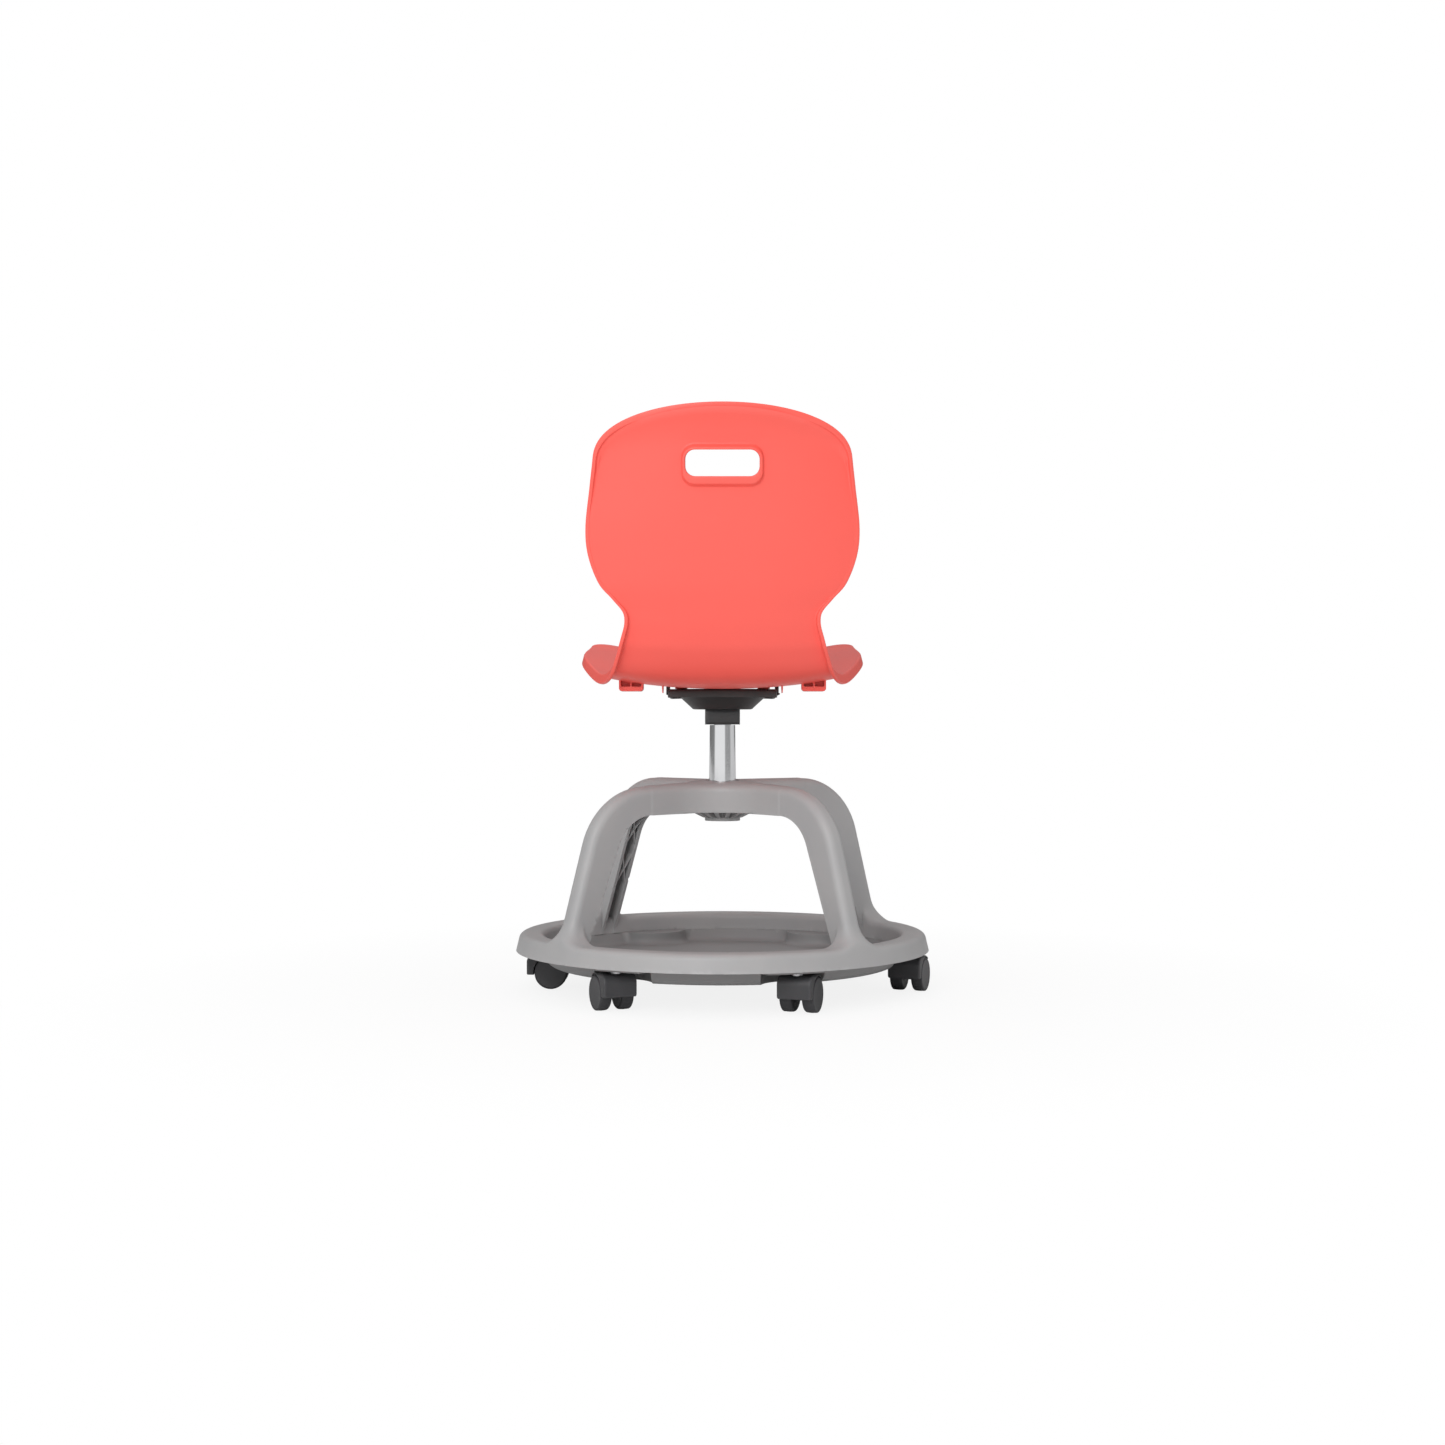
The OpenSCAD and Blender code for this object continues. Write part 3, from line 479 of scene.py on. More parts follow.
# %% The middle line of the shell
PLATE_TOP = float(node_box("seat_pan")[1][2]) + 3.0
HALF_SEAT, BACK_HEIGHT, SHELL_WALL = 205.0, 376.0, 5.0
STATIONS = np.array([
    [-222, 39, HALF_SEAT - 13, 17],
    [-203, 55, HALF_SEAT - 8, 24],
    [-150, 48, HALF_SEAT - 2, 20],
    [-50, 28, HALF_SEAT, 25],
    [40, 9, HALF_SEAT - 19, 22],
    [105, 5, HALF_SEAT - 36, 16],
    [150, 17, HALF_SEAT - 51, 13],
    [178, 49, HALF_SEAT - 63, 11],
    [187, 70, HALF_SEAT - 69, 10],
    [192.5, 88, HALF_SEAT - 73, 9],
    [196, BACK_HEIGHT - 273, HALF_SEAT - 70, 9.5],
    [200, BACK_HEIGHT - 256, HALF_SEAT - 55, 10.5],
    [204.5, BACK_HEIGHT - 236, HALF_SEAT - 37, 12],
    [211, BACK_HEIGHT - 197, HALF_SEAT - 22.7, 15],
    [218, BACK_HEIGHT - 157, HALF_SEAT - 20.5, 17],
    [226, BACK_HEIGHT - 107, HALF_SEAT - 27.5, 19],
    [234, BACK_HEIGHT - 57, HALF_SEAT - 34.2, 20],
    [244, BACK_HEIGHT + 5, HALF_SEAT - 36, 20]])


def smooth_through(stations, per_span=24):
    """A Catmull-Rom curve: between two stations a cubic whose slope at each is half the step from
    its neighbour before to its neighbour after."""
    padded = np.vstack([2 * stations[0] - stations[1], stations, 2 * stations[-1] - stations[-2]])
    t = np.linspace(0, len(stations) - 1, (len(stations) - 1) * per_span + 1)
    i = np.minimum(t.astype(int), len(stations) - 2)
    f = (t - i)[:, None]
    a, b, c, d = (padded[i + k] for k in range(4))
    return 0.5 * (2 * b + (c - a) * f + (2 * a - 5 * b + 4 * c - d) * f ** 2
                  + (3 * b - a - 3 * c + d) * f ** 3)


middle = smooth_through(STATIONS)
along = np.concatenate([[0], np.cumsum(np.hypot(*np.diff(middle[:, :2], axis=0).T))])
TOTAL = along[-1]
print("length of the shell along its middle, mm:", round(TOTAL, 1))


def on_line(s, column):
    """A column of the middle line at length s, straight between its points."""
    return np.interp(s, along, middle[:, column])

# %% [markdown]
# A point on the sheet is found from its length along the curve and its place sideways. The
# outline's two ends are rounded like a superellipse, a curve between an oval and a rectangle.

# %% Any point of the shell
# how far the rounded ends of the outline reach along the shell
FRONT_ROUND, TOP_ROUND = 60, 74

def sitter_face(s, x):
    """The sitter's face: the middle line at length s, moved sideways to x and lifted along the
    line's normal by rise times (|x| / half width) to the power 2.2."""
    d = 2.0
    ny = on_line(s - d, 1) - on_line(s + d, 1)
    nz = on_line(s + d, 0) - on_line(s - d, 0)
    size = np.hypot(ny, nz)
    lift = on_line(s, 3) * (np.abs(x) / on_line(s, 2)) ** 2.2
    return np.stack([x, on_line(s, 0) + ny / size * lift,
                     PLATE_TOP + on_line(s, 1) + nz / size * lift], -1)


def sheet(s, x, depth):
    """The sitter's face pushed back by depth along its normal, the cross product of the two
    directions along the sheet."""
    d = 2.0
    across = sitter_face(s, x + d) - sitter_face(s, x - d)
    up = sitter_face(s + d, x) - sitter_face(s - d, x)
    normal = np.cross(across, up)
    normal /= np.linalg.norm(normal, axis=-1, keepdims=True)
    return sitter_face(s, x) - np.asarray(depth)[..., None] * normal


def outline_place(u, v, inset):
    """Length and sideways place for u (front to top) and v (side to side), both ends rounded by a
    superellipse and everything kept `inset` away from the outline."""
    v1 = np.sin(np.pi / 2 * v)
    end = 1 - np.maximum(0, 1 - np.abs(v1) ** (2.13 - 0.09 * u)) ** (1 / 2.2)
    low = 3 + inset + FRONT_ROUND * end
    high = TOTAL - 1 - inset - TOP_ROUND * end
    s = low + (high - low) * u
    return s, (on_line(s, 2) - inset) * v1


print("width of the shell at its widest, mm:", 2 * float(middle[:, 2].max()))

# %% [markdown]
# The hand hole is not cut afterwards. A window of the grid is left out, and rings of points run
# from the window's frame inwards to the hole, over the hole's edge and out again on the rear side,
# so the raised rim is part of the same closed skin. Each ring is a rounded rectangle, and a point
# keeps its place round the ring by where it sat on the window's frame.

# %% The hand hole
# steps over a rounded edge, in degrees
FINE, COARSE = (0, 22, 45, 68, 90), (0, 30, 60, 90)


def quarter(radius, degrees):
    """Steps of a rounded edge: one minus the sine and one minus the cosine of each angle, times
    the radius."""
    return [(radius * (1 - np.sin(a)), radius * (1 - np.cos(a))) for a in np.radians(degrees)]


def rounded_rectangle(frame_x, frame_s, half_x, half_s, radius, centre_s=0.0):
    """frame_x and frame_s lie on a square from -1 to 1. The square is stretched to the rectangle,
    then its corners are pulled onto arcs of that radius."""
    x, s = frame_x * half_x, frame_s * half_s
    cx = np.clip(x, -(half_x - radius), half_x - radius)
    cs = np.clip(s, -(half_s - radius), half_s - radius)
    reach = np.maximum(np.hypot(x - cx, s - cs), 1e-9)
    return cx + (x - cx) / reach * radius, cs + (s - cs) / reach * radius + centre_s


on_back = along > 450


def back_length(height):
    """Length along the shell where the backrest's middle line is that high over the plate."""
    return float(np.interp(height, middle[on_back, 1], along[on_back]))


SLOT_S = back_length(BACK_HEIGHT - 76)
# the hole, the top of its raised rim and the rim's foot: half width, half height, corner, middle
SLOT = (49.5, 17.7, 13.0, 0.0)
PLATEAU = (52.6, 23.0, 15.5, -3.6)
RIM_FOOT = (55.0, 29.6, 18.0, -3.3)
RIM_HEIGHT, HOLE_ROUND, RIM_ROUND = 6.0, 2.6, 1.5
print("hand hole's middle, mm along the shell:", round(SLOT_S, 1))


def grown(shape, by):
    """The same outline `by` larger all round, its corners too."""
    half_x, half_s, radius, centre = shape
    return half_x + by, half_s + by, radius + by, centre


def window_ring(values, top, bottom, left, right):
    """The values round a window of a grid, once round: bottom, right, top, left."""
    return np.concatenate([values[bottom, left:right], values[bottom:top, right],
                           values[top, right:left:-1], values[top:bottom:-1, left]])


def hand_hole(front, rear, window):
    """Rings from the front skin's window, over the hole's edge, to the rear skin's window."""
    u, v, front_s, front_x, _ = (window_ring(a, *window) for a in front)
    _, _, rear_s, rear_x, rear_deep = (window_ring(a, *window) for a in rear)
    square_s = np.interp(u, [u.min(), u.max()], [-1, 1])
    square_x = np.interp(v, [v.min(), v.max()], [-1, 1])
    rings = []

    def ring(shape, depth, mix=0.0, other_s=0.0, other_x=0.0):
        """Adds a ring on an outline, moved by the share `mix` towards another ring's places."""
        x, s = rounded_rectangle(square_x, square_s, *shape)
        s = s + SLOT_S
        rings.append(sheet(s + (other_s - s) * mix, x + (other_x - x) * mix, depth))

    for mix in (1.0, 0.8, 0.6, 0.4, 0.22, 0.08):
        ring(grown(SLOT, HOLE_ROUND), 0.0, mix, front_s, front_x)
    for inset, depth in quarter(HOLE_ROUND, FINE):
        ring(grown(SLOT, inset), depth)
    high = SHELL_WALL + RIM_HEIGHT
    for inset, depth in quarter(RIM_ROUND, FINE[::-1]):
        ring(grown(SLOT, inset), high - depth)
    plateau, rim_foot = np.array(PLATEAU), np.array(RIM_FOOT)
    for f in np.linspace(0, 1, 9):
        fall = 0.5 - 0.5 * np.cos(np.pi * f)
        ring(plateau + (rim_foot - plateau) * f, high - RIM_HEIGHT * fall)
    for mix in (0.1, 0.25, 0.45, 0.7, 1.0):
        ring(rim_foot, SHELL_WALL + (rear_deep - SHELL_WALL) * mix ** 2, mix, rear_s, rear_x)
    return np.stack(rings).reshape(-1, 3), [grid_faces(len(rings), len(u), wrap=True)]

# %% [markdown]
# The sitter's side and the rear side are two grids over the same outline, a wall apart. The rolled
# lip is a closed section carried round the outline. It is deep round the seat, flat at the waist
# and deeper again at the top. All of it is welded into one closed skin.

# %% The shell's skins, lip and hand hole in one mesh
ROWS, COLS = 150, 97
LIP_ROUND, FOOT_ROUND, LIP_FILLET = 3.0, 1.2, 3.0
WINDOW_S, WINDOW_X = 52, 76
WAIST = back_length(104)


def lip_depth(s):
    """Depth of the rolled edge: deep round the seat, hardly past the wall up the sides of the
    backrest, and deeper again round its top."""
    places = [WAIST - 45, WAIST + 30, TOTAL - 150, TOTAL - 78]
    return SHELL_WALL + np.interp(s, places, [10.0, 0.7, 0.7, 7.0])


def flat_middle(v):
    """One in the middle of the shell and nothing at its sides."""
    return 1 - np.sin(np.pi / 2 * v) ** 2


def rear_inset(u, v):
    """The rolled edge is as wide as the wall, and wider in the middle of the top. The rear skin
    starts where the fillet behind it ends."""
    return SHELL_WALL + 3.3 * u * flat_middle(v) + LIP_FILLET


def rear_depth(u, v):
    """Depth of the rear skin: the wall, and under the top edge a swelling that runs out."""
    one = 1 + 0 * u
    top, place = (outline_place(k, v, rear_inset(k, v))[0] for k in (one, u))
    flat = flat_middle(v)
    below = (top - place) / (12 + 38 * flat)
    return SHELL_WALL + (2.0 + 9.0 * flat) * np.maximum(0, 1 - below) ** 2


def skin(inset, depth):
    """A grid of the shell as (u, v, s, x, depth) at every point, and the points themselves."""
    u, v = np.meshgrid(np.linspace(0, 1, ROWS), np.linspace(-1, 1, COLS), indexing="ij")
    s, x = outline_place(u, v, inset(u, v))
    deep = depth(u, v)
    return (u, v, s, x, deep), sheet(s, x, deep)


def lip():
    """Rings once round the outline, one for each (inset, depth) of the rolled edge's section."""
    up, over = np.linspace(0, 1, ROWS)[:-1], np.linspace(-1, 1, COLS)[:-1]
    u = np.concatenate([0 * over, up, 0 * over + 1, np.linspace(1, 0, ROWS)[:-1]])
    v = np.concatenate([over, 0 * up + 1, np.linspace(1, -1, COLS)[:-1], 0 * up - 1])
    deep, base = lip_depth(outline_place(u, v, 0)[0]), rear_depth(u, v)
    wide = rear_inset(u, v) - LIP_FILLET
    edge = np.minimum(FOOT_ROUND, 0.4 * (deep - base))
    fillet = np.minimum(LIP_FILLET, deep - base - edge)
    section = quarter(LIP_ROUND, (0, 15, 30, 45, 60, 75, 90))
    section += [(0, LIP_ROUND + (deep - FOOT_ROUND - LIP_ROUND) * f) for f in (0.35, 0.7)]
    section += [(near, deep - far) for far, near in quarter(FOOT_ROUND, COARSE)]
    section += [(wide - near, deep - far) for far, near in quarter(edge, COARSE[::-1])]
    section += [(wide + near, base + far) for far, near in quarter(fillet, FINE)]
    section += [(wide + LIP_FILLET, base)]
    loops = np.stack([sheet(*outline_place(u, v, inset), depth) for inset, depth in section])
    return loops.reshape(-1, 3), [grid_faces(len(loops), len(u), wrap=True)[:, ::-1]]


def shell_arrays():
    """Front skin, rear skin, the hand hole and the rolled lip, welded where they meet."""
    front, front_points = skin(lambda u, v: LIP_ROUND + 0 * u, lambda u, v: 0 * u)
    rear, rear_points = skin(rear_inset, rear_depth)
    near = np.abs(front[2][:, COLS // 2] - SLOT_S) < WINDOW_S
    low, high = np.flatnonzero(near)[[0, -1]]
    right = int(np.argmax(front[3][(low + high) // 2] > WINDOW_X))
    left = COLS - 1 - right
    row, col = np.divmod(np.arange((ROWS - 1) * (COLS - 1)), COLS - 1)
    window = (row >= low) & (row < high) & (col >= left) & (col < right)
    quads = grid_faces(ROWS, COLS)[~window]
    parts = [(front_points.reshape(-1, 3), [quads]),
             (rear_points.reshape(-1, 3), [quads[:, ::-1]]),
             hand_hole(front, rear, (high, low, left, right)), lip()]
    return weld(*joined(parts))


report(piece("seat_skin", *shell_arrays(), "seat", "shell_coral", stands_for=("seat_shell",),
             crisp=50))

# %% [markdown]
# ## What is moulded under the seat
# Two hooked clips, two thin fins, four screw bosses and a few cross ribs hang from the underside.
# The ribs and fins are small blocks with eased edges. A block starts as a ball: its eight parts are
# pulled apart until they reach the block's corners. Whatever reaches up into the shell has its top
# points laid inside the shell's wall.

# %% Eased blocks and how they meet the shell


def eased_block(low, high, radius, steps=3):
    """A box with rounded edges: a ball of `radius` whose eight parts are pulled apart until they
    reach the corners, so its latitudes and longitudes become the faces between them."""
    low, high = np.array(low, float), np.array(high, float)
    half, middle_of = (high - low) / 2 - radius, (high + low) / 2
    n = steps + 1
    lat = np.radians(np.concatenate([np.linspace(-90, 0, n), np.linspace(0, 90, n)]))
    lon = np.radians(np.concatenate([np.linspace(q, q + 90, n) for q in (0, 90, 180, 270)]))
    sx, sy = np.repeat([1, -1, -1, 1], n), np.repeat([1, 1, -1, -1], n)
    up = np.repeat([-1, 1], n)
    x = half[0] * sx + radius * np.cos(lat)[:, None] * np.cos(lon)
    y = half[1] * sy + radius * np.cos(lat)[:, None] * np.sin(lon)
    z = (half[2] * up + radius * np.sin(lat))[:, None] + 0 * lon
    points = np.stack([x, y, z], -1) + middle_of
    rows, cols = points.shape[:2]
    pick = np.arange(4) * n
    caps = np.array([pick[::-1], (rows - 1) * cols + pick])
    return weld(points.reshape(-1, 3), [grid_faces(rows, cols, wrap=True), caps])


def underside(x, y, depth=2.5):
    """Height inside the shell's wall above (x, y): the nearest of many places along the shell at
    that sideways place."""
    s = np.arange(60.0, 420.0, 1.0)
    spots = sheet(s[None, :] + 0 * x[:, None], x[:, None] + 0 * s[None, :],
                  np.full((len(x), len(s)), depth))
    nearest = np.abs(spots[..., 1] - y[:, None]).argmin(axis=1)
    return spots[np.arange(len(x)), nearest, 2]


def hung(part, above=None):
    """Points above a height, or else the upper half, end in the shell's wall."""
    points, faces = part
    upper = points[:, 2] > (points[:, 2].mean() if above is None else above)
    points[upper, 2] = underside(points[upper, 0], points[upper, 1])
    return points, faces

# %% [markdown]
# A clip is a frame with recessed panels, so it is a field. A screw boss is turned: rings of points
# at growing heights, joined with quads and closed by a flat cap at each end.

# %% Clips, fins, ribs and bosses
# where the clips are, their outline, and the recesses on their rear and front
CLIP_X, CLIP_Y, CLIP_FOOT = 129.0, 84.0, PLATE_TOP - 4
CLIP_HALF, CLIP_DEPTH, CLIP_TOP, CLIP_CORNER = 17, 15, 10, 4.2
REAR_HALF, REAR_FOOT, FRONT_HALF, FRONT_FOOT, PANEL_HALF = 14.4, 6.4, 14.8, 3.0, 1.0
FIN_X, FIN_HALF, CROSS_RIBS, RIB_X, RIB_Y = 84.5, 1.3, (-40.0, 20.0, 62.0), 26, 1.2
SCREW_X, SCREW_Y = 60, 50
# a screw boss from its middle out and up, as (radius, height over the plate)
SCREW_SIDE = ((3.0, 0.1), (7.4, 0.1), (8.0, 0.7), (8.0, 4.0), (8.0, 8.0))


def closed_stack(levels, weld_it=False):
    """Rings of points joined with quads, the last to the first, as round a bore."""
    points = np.stack(levels)
    rows, cols = points.shape[:2]
    quads = grid_faces(rows + 1, cols, wrap=True) % (rows * cols)
    points = points.reshape(-1, 3)
    return weld(points, [quads]) if weld_it else (points, [quads])


def capped_stack(levels):
    """Rings of points joined with quads, with a flat cap on the first and on the last."""
    points = np.stack(levels)
    rows, cols = points.shape[:2]
    caps = np.array([np.arange(cols)[::-1], (rows - 1) * cols + np.arange(cols)])
    return points.reshape(-1, 3), [grid_faces(rows, cols, wrap=True), caps]


def clip_field(x, y, z):
    """A clip about its own middle: two side walls and a middle rib stand proud of a thin panel,
    a bar closes the bottom, and the bottom corners are rounded."""
    across = np.abs(x)
    outline = round_both(across - CLIP_HALF, -z, CLIP_CORNER)
    body = round_both(in_all(outline, z - CLIP_TOP), np.abs(y) - CLIP_DEPTH, 1.0)
    pockets = round_both(in_all(across - REAR_HALF, 0.9 - across), REAR_FOOT - z, 1.6)
    behind = in_all(pockets, PANEL_HALF - y)
    front = in_all(across - FRONT_HALF, FRONT_FOOT - z, y + PANEL_HALF)
    return in_all(body, -behind, -front)


def fin_blade(x):
    """A thin fin, narrower where it hangs below the plate's top."""
    points, faces = hung(eased_block((x - FIN_HALF, CLIP_Y - 12, PLATE_TOP - 6.3),
                                     (x + FIN_HALF, CLIP_Y + 8, PLATE_TOP + 10), 0.5))
    low = points[:, 2] < PLATE_TOP
    points[low, 0] = x + (points[low, 0] - x) * 0.45
    return points, faces


def screw_boss(x, y, count=28):
    """A turned boss whose top ring lies inside the shell's wall."""
    t = np.linspace(0, 2 * np.pi, count, endpoint=False)
    levels = [np.stack([x + r * np.cos(t), y + r * np.sin(t), PLATE_TOP + up + 0 * t], -1)
              for r, up in SCREW_SIDE]
    levels[-1][:, 2] = underside(levels[-1][:, 0], levels[-1][:, 1])
    return capped_stack(levels)


clip_points, clip_quads = skin_of(clip_field, (-18.5, -16.5, -1.5), (18.5, 16.5, 11.5), 0.75)
hanging = []
for side in (-1, 1):
    placed = clip_points + [side * CLIP_X, CLIP_Y, CLIP_FOOT]
    hanging += [hung((placed, [clip_quads]), CLIP_FOOT + 8.6), fin_blade(side * FIN_X)]
hanging += [hung(eased_block((-RIB_X, y - RIB_Y, PLATE_TOP + 0.1),
                             (RIB_X, y + RIB_Y, PLATE_TOP + 20), 0.4)) for y in CROSS_RIBS]
hanging += [screw_boss(x, y) for x in (-SCREW_X, SCREW_X) for y in (-SCREW_Y, SCREW_Y)]
report(piece("under_seat", *joined(hanging), "seat", "shell_coral", crisp=40))

# %% [markdown]
# ## The metal seat mount
# Plate, pan and socket block are pressed and machined parts with small radii. Each is a stack of
# rings from its middle out over its edge and back, and every ring is a rounded rectangle or a
# circle at one height.

# %% Rings with rounded corners and eased edges


def ring_levels(rings, per_side=14):
    """The points of rings of (half_x, half_y, corner radius, z)."""
    edge, one = np.linspace(-1, 1, per_side, endpoint=False), np.ones(per_side)
    square_x = np.concatenate([edge, one, -edge, -one])
    square_y = np.concatenate([-one, edge, one, -edge])
    levels = []
    for half_x, half_y, radius, z in rings:
        x, y = rounded_rectangle(square_x, square_y, half_x, half_y, radius)
        levels.append(np.stack([x, y, z + 0 * x], -1))
    return levels


def eased(half_x, half_y, corner, z, radius, way, steps=5):
    """Rings over an eased edge: `way` = 1 goes from the side up to the top, -1 from the bottom up
    to the side."""
    return [(half_x - near, half_y - near, max(corner - near, 0.3), z - way * far)
            for far, near in quarter(radius, np.linspace(0, 90, steps)[::way])]

# %% [markdown]
# The plate is pressed from thick sheet with its rim turned down, and an upright wing with a foot is
# fixed along each side. The pan is a shallow dish that carries the plate on the socket block, and
# the block is bored for the column.

# %% Plate, pan and socket block
PLATE_X, PLATE_Y, SHEET, PLATE_RIM, DROOP = 78, 75, 3, 12, 1.1
WING_X, WING_HALF, WING_FOOT = 79.6, 1.4, 3.0


def pressed_plate():
    """A sheet with its rim pressed down all round. Its corners droop a little."""
    low, below = PLATE_TOP - PLATE_RIM, PLATE_TOP - SHEET
    in_x, in_y = PLATE_X - SHEET, PLATE_Y - SHEET
    outer = eased(PLATE_X, PLATE_Y, 5, low, 0.5, -1, 3)
    outer += eased(PLATE_X, PLATE_Y, 5, PLATE_TOP, 4.0, 1, 7)
    inner = eased(in_x, in_y, 3, below, 1.2, 1, 4)
    rings = [(10, 10, 4, below)] + inner[::-1] + [(in_x, in_y, 3, low + 0.4)]
    rings += [(in_x + 0.4, in_y + 0.4, 3.2, low)] + outer
    rings += [(40, 40, 5, PLATE_TOP), (10, 10, 4, PLATE_TOP)]
    points, faces = capped_stack(ring_levels(rings))
    far_x, far_y = np.abs(points[:, 0]) / PLATE_X, np.abs(points[:, 1]) / PLATE_Y
    points[:, 2] -= DROOP * far_x ** 4 * far_y ** 4
    return points, faces


plate_parts = [pressed_plate()]
for x in (-WING_X, WING_X):
    for left, top in ((WING_HALF, 5.5), (WING_FOOT, -5.6)):
        plate_parts.append(eased_block((x - left, -70, PLATE_TOP - 8),
                                       (x + WING_HALF, 40, PLATE_TOP + top), 0.6))
report(piece("seat_plate_skin", *joined(plate_parts), "seat", "plate_black",
             stands_for=("seat_plate",), crisp=40))

PAN_Z, BLOCK_Z = (float(node_box(n)[0][2]) for n in ("seat_pan", "socket_block"))
# the pan's section as (radius, height): over the top from the middle out, and back underneath
PAN_SECTION = ((8, 3), (38, 3), (41.0, 4.2), (66.6, 25.4), (67.4, 26), (69.8, 26), (69.8, 25.2),
               (69.2, 24.4), (44.6, 1.8), (43.6, 0.8), (42.2, 0.2), (40.4, 0), (8, 0))
pan = [(r, r, r, PAN_Z + up) for r, up in PAN_SECTION[::-1]]
report(piece("seat_pan_skin", *capped_stack(ring_levels(pan, 24)), "seat", "plate_black",
             stands_for=("seat_pan",), crisp=30))

# the block has a bore, a thin groove near its foot, and is a little narrower above the groove
BLOCK_BORE, BLOCK_LOW, BLOCK_HIGH, BLOCK_CORNER = 12.8, 25.45, 25.3, 1.6
block = [(BLOCK_BORE, BLOCK_BORE, BLOCK_BORE, BLOCK_Z)]
block += eased(BLOCK_LOW, BLOCK_LOW, BLOCK_CORNER, BLOCK_Z, 0.4, -1, 3)
block += [(half, half, corner, BLOCK_Z + up) for half, corner, up in (
    (BLOCK_LOW, BLOCK_CORNER, 1.5), (24.9, 1.4, 1.8), (24.9, 1.4, 2.1),
    (BLOCK_HIGH, BLOCK_CORNER, 2.5))]
block += eased(BLOCK_HIGH, BLOCK_HIGH, BLOCK_CORNER, PAN_Z, 0.5, 1, 3)
block += [(BLOCK_BORE, BLOCK_BORE, BLOCK_BORE, PAN_Z)]
report(piece("socket_block_skin", *closed_stack(ring_levels(block)), "seat", "block_black",
             stands_for=("socket_block",), crisp=35))

# %% [markdown]
# ## The base frame
# The real base is one big hollow moulding: four arched legs flow into a hub above and into a ring
# below, with soft inner corners everywhere. It is one field: a leg is a bent bar with rounded
# edges, the hub fills the corners between the legs in plan, and the ring is a channel turned round
# the middle. The skin's wall is thicker than the CAD's, so that the grid of places resolves it.

# %% Sizes of the base
BASE_TURN = 5.2
# the ring's radii and heights, the slope of its outer side, and the rounding of its top edges
RING_R, RING_IN, RING_Z, RING_TOP = 300.0, 258.0, 59.4, 84.4
RING_RISE, RING_LEAN, RING_ROUND, RING_INNER_ROUND = 25, 6, 8, 9
# the hub's heights and reach, and a leg's half width, rounding and wall
HUB_TOP, HUB_FOOT, HUB_REACH = 304.4, 259.4, 140
LEG_HALF, LEG_ROUND, SKIN_WALL, CHANNEL_ROUND = 14.0, 11, 5.2, 6
# the outer line of a leg and the arch below it: where each bends, where it ends, and its radius
LEG_KNEE, LEG_FOOT, LEG_BEND = 225, (289, 76.4), 108
ARCH_KNEE, ARCH_FOOT, ARCH_BEND = 182, (252, 76.4), 60
# the room in a leg starts this far out, and this is the fillet where a leg meets the ring
CHANNEL_START, FEET_FILLET = 48, 34
# the bore is a little wider at its mouth
BORE_R, MOUTH_R, MOUTH_DEPTH = 22.2, 24.7, 12
# the azimuth of each leg and how far the hub's top has fallen at its knee
LEGS = ((45.0, 11.0), (-45.0, 11.0), (131.2, 0.0), (-131.2, 0.0))
REAR_FALL = LEGS[0][1] / (LEG_KNEE * math.cos(math.radians(LEGS[0][0])))
# how gently the fall sets in, how far the room reaches past a leg's open side, and how far in
# from the ring it keeps clear of it
FALL_SOFTNESS, ROOM_BELOW, NEAR_RING = 200, 60, 60
# which legs an arc joins in plan, and how wide the arc is
HUB_ARCS = ((0, 1, 100), (0, 2, 58), (2, 3, 58), (1, 3, 58))
print("ring's section in mm:", RING_R - RING_IN, "x", round(RING_TOP - RING_Z, 1))

# %% [markdown]
# A leg is drawn once in its own side view. Its outer line runs level from the hub, bends at the
# knee and goes down to the ring. The arch below does the same further in. It hangs a little at its
# knee, so the opening under the hub is slightly curved.

# %% The legs as fields


def leg_side(out, up, drop):
    """Distances from a leg's outer line and from the arch below it, in the leg's side view."""
    outer = bend_distance(out, up, (0, HUB_TOP), (LEG_KNEE, HUB_TOP - drop), LEG_FOOT, LEG_BEND)
    arch = bend_distance(out, up, ARCH_FOOT, (ARCH_KNEE, HUB_FOOT - 3), (0, HUB_FOOT + 1),
                         ARCH_BEND)
    return outer, arch


def leg_fields(x, y, z):
    """The four legs as full bars, the same above their arches, the room inside them, and a list
    with each one's plan."""
    bars, arched, rooms, plans = [], [], [], []
    for azimuth, drop in LEGS:
        sin, cos = math.sin(math.radians(azimuth)), math.cos(math.radians(azimuth))
        out, across = x * sin + y * cos, np.abs(x * cos - y * sin)
        outer, arch = leg_side(out, z, drop)
        bar = in_all(round_both(outer, across - LEG_HALF, LEG_ROUND), -out)
        room = round_both(outer + SKIN_WALL, across - LEG_HALF + SKIN_WALL, CHANNEL_ROUND)
        bars.append(bar)
        arched.append(in_all(bar, -arch))
        rooms.append(in_all(room, CHANNEL_START - out, -arch - ROOM_BELOW))
        plans.append(np.where(out > 0, across, np.hypot(out, across)) - LEG_HALF)
    return in_any(*bars), in_any(*arched), in_any(*rooms), plans


def hub_field(y, z, r, plans):
    """The hub: legs joined by arcs in plan, under a top that is level in front and falls behind."""
    plan = in_any(*(soft_either(plans[a], plans[b], width) for a, b, width in HUB_ARCS))
    behind = 0.5 * (y + np.sqrt(y * y + FALL_SOFTNESS))
    top = (z - HUB_TOP + REAR_FALL * behind) / math.hypot(1, REAR_FALL)
    hub = in_all(round_both(top, plan, LEG_ROUND), r - HUB_REACH)
    return soft_both(hub, HUB_FOOT - 1 - z, 2.0)


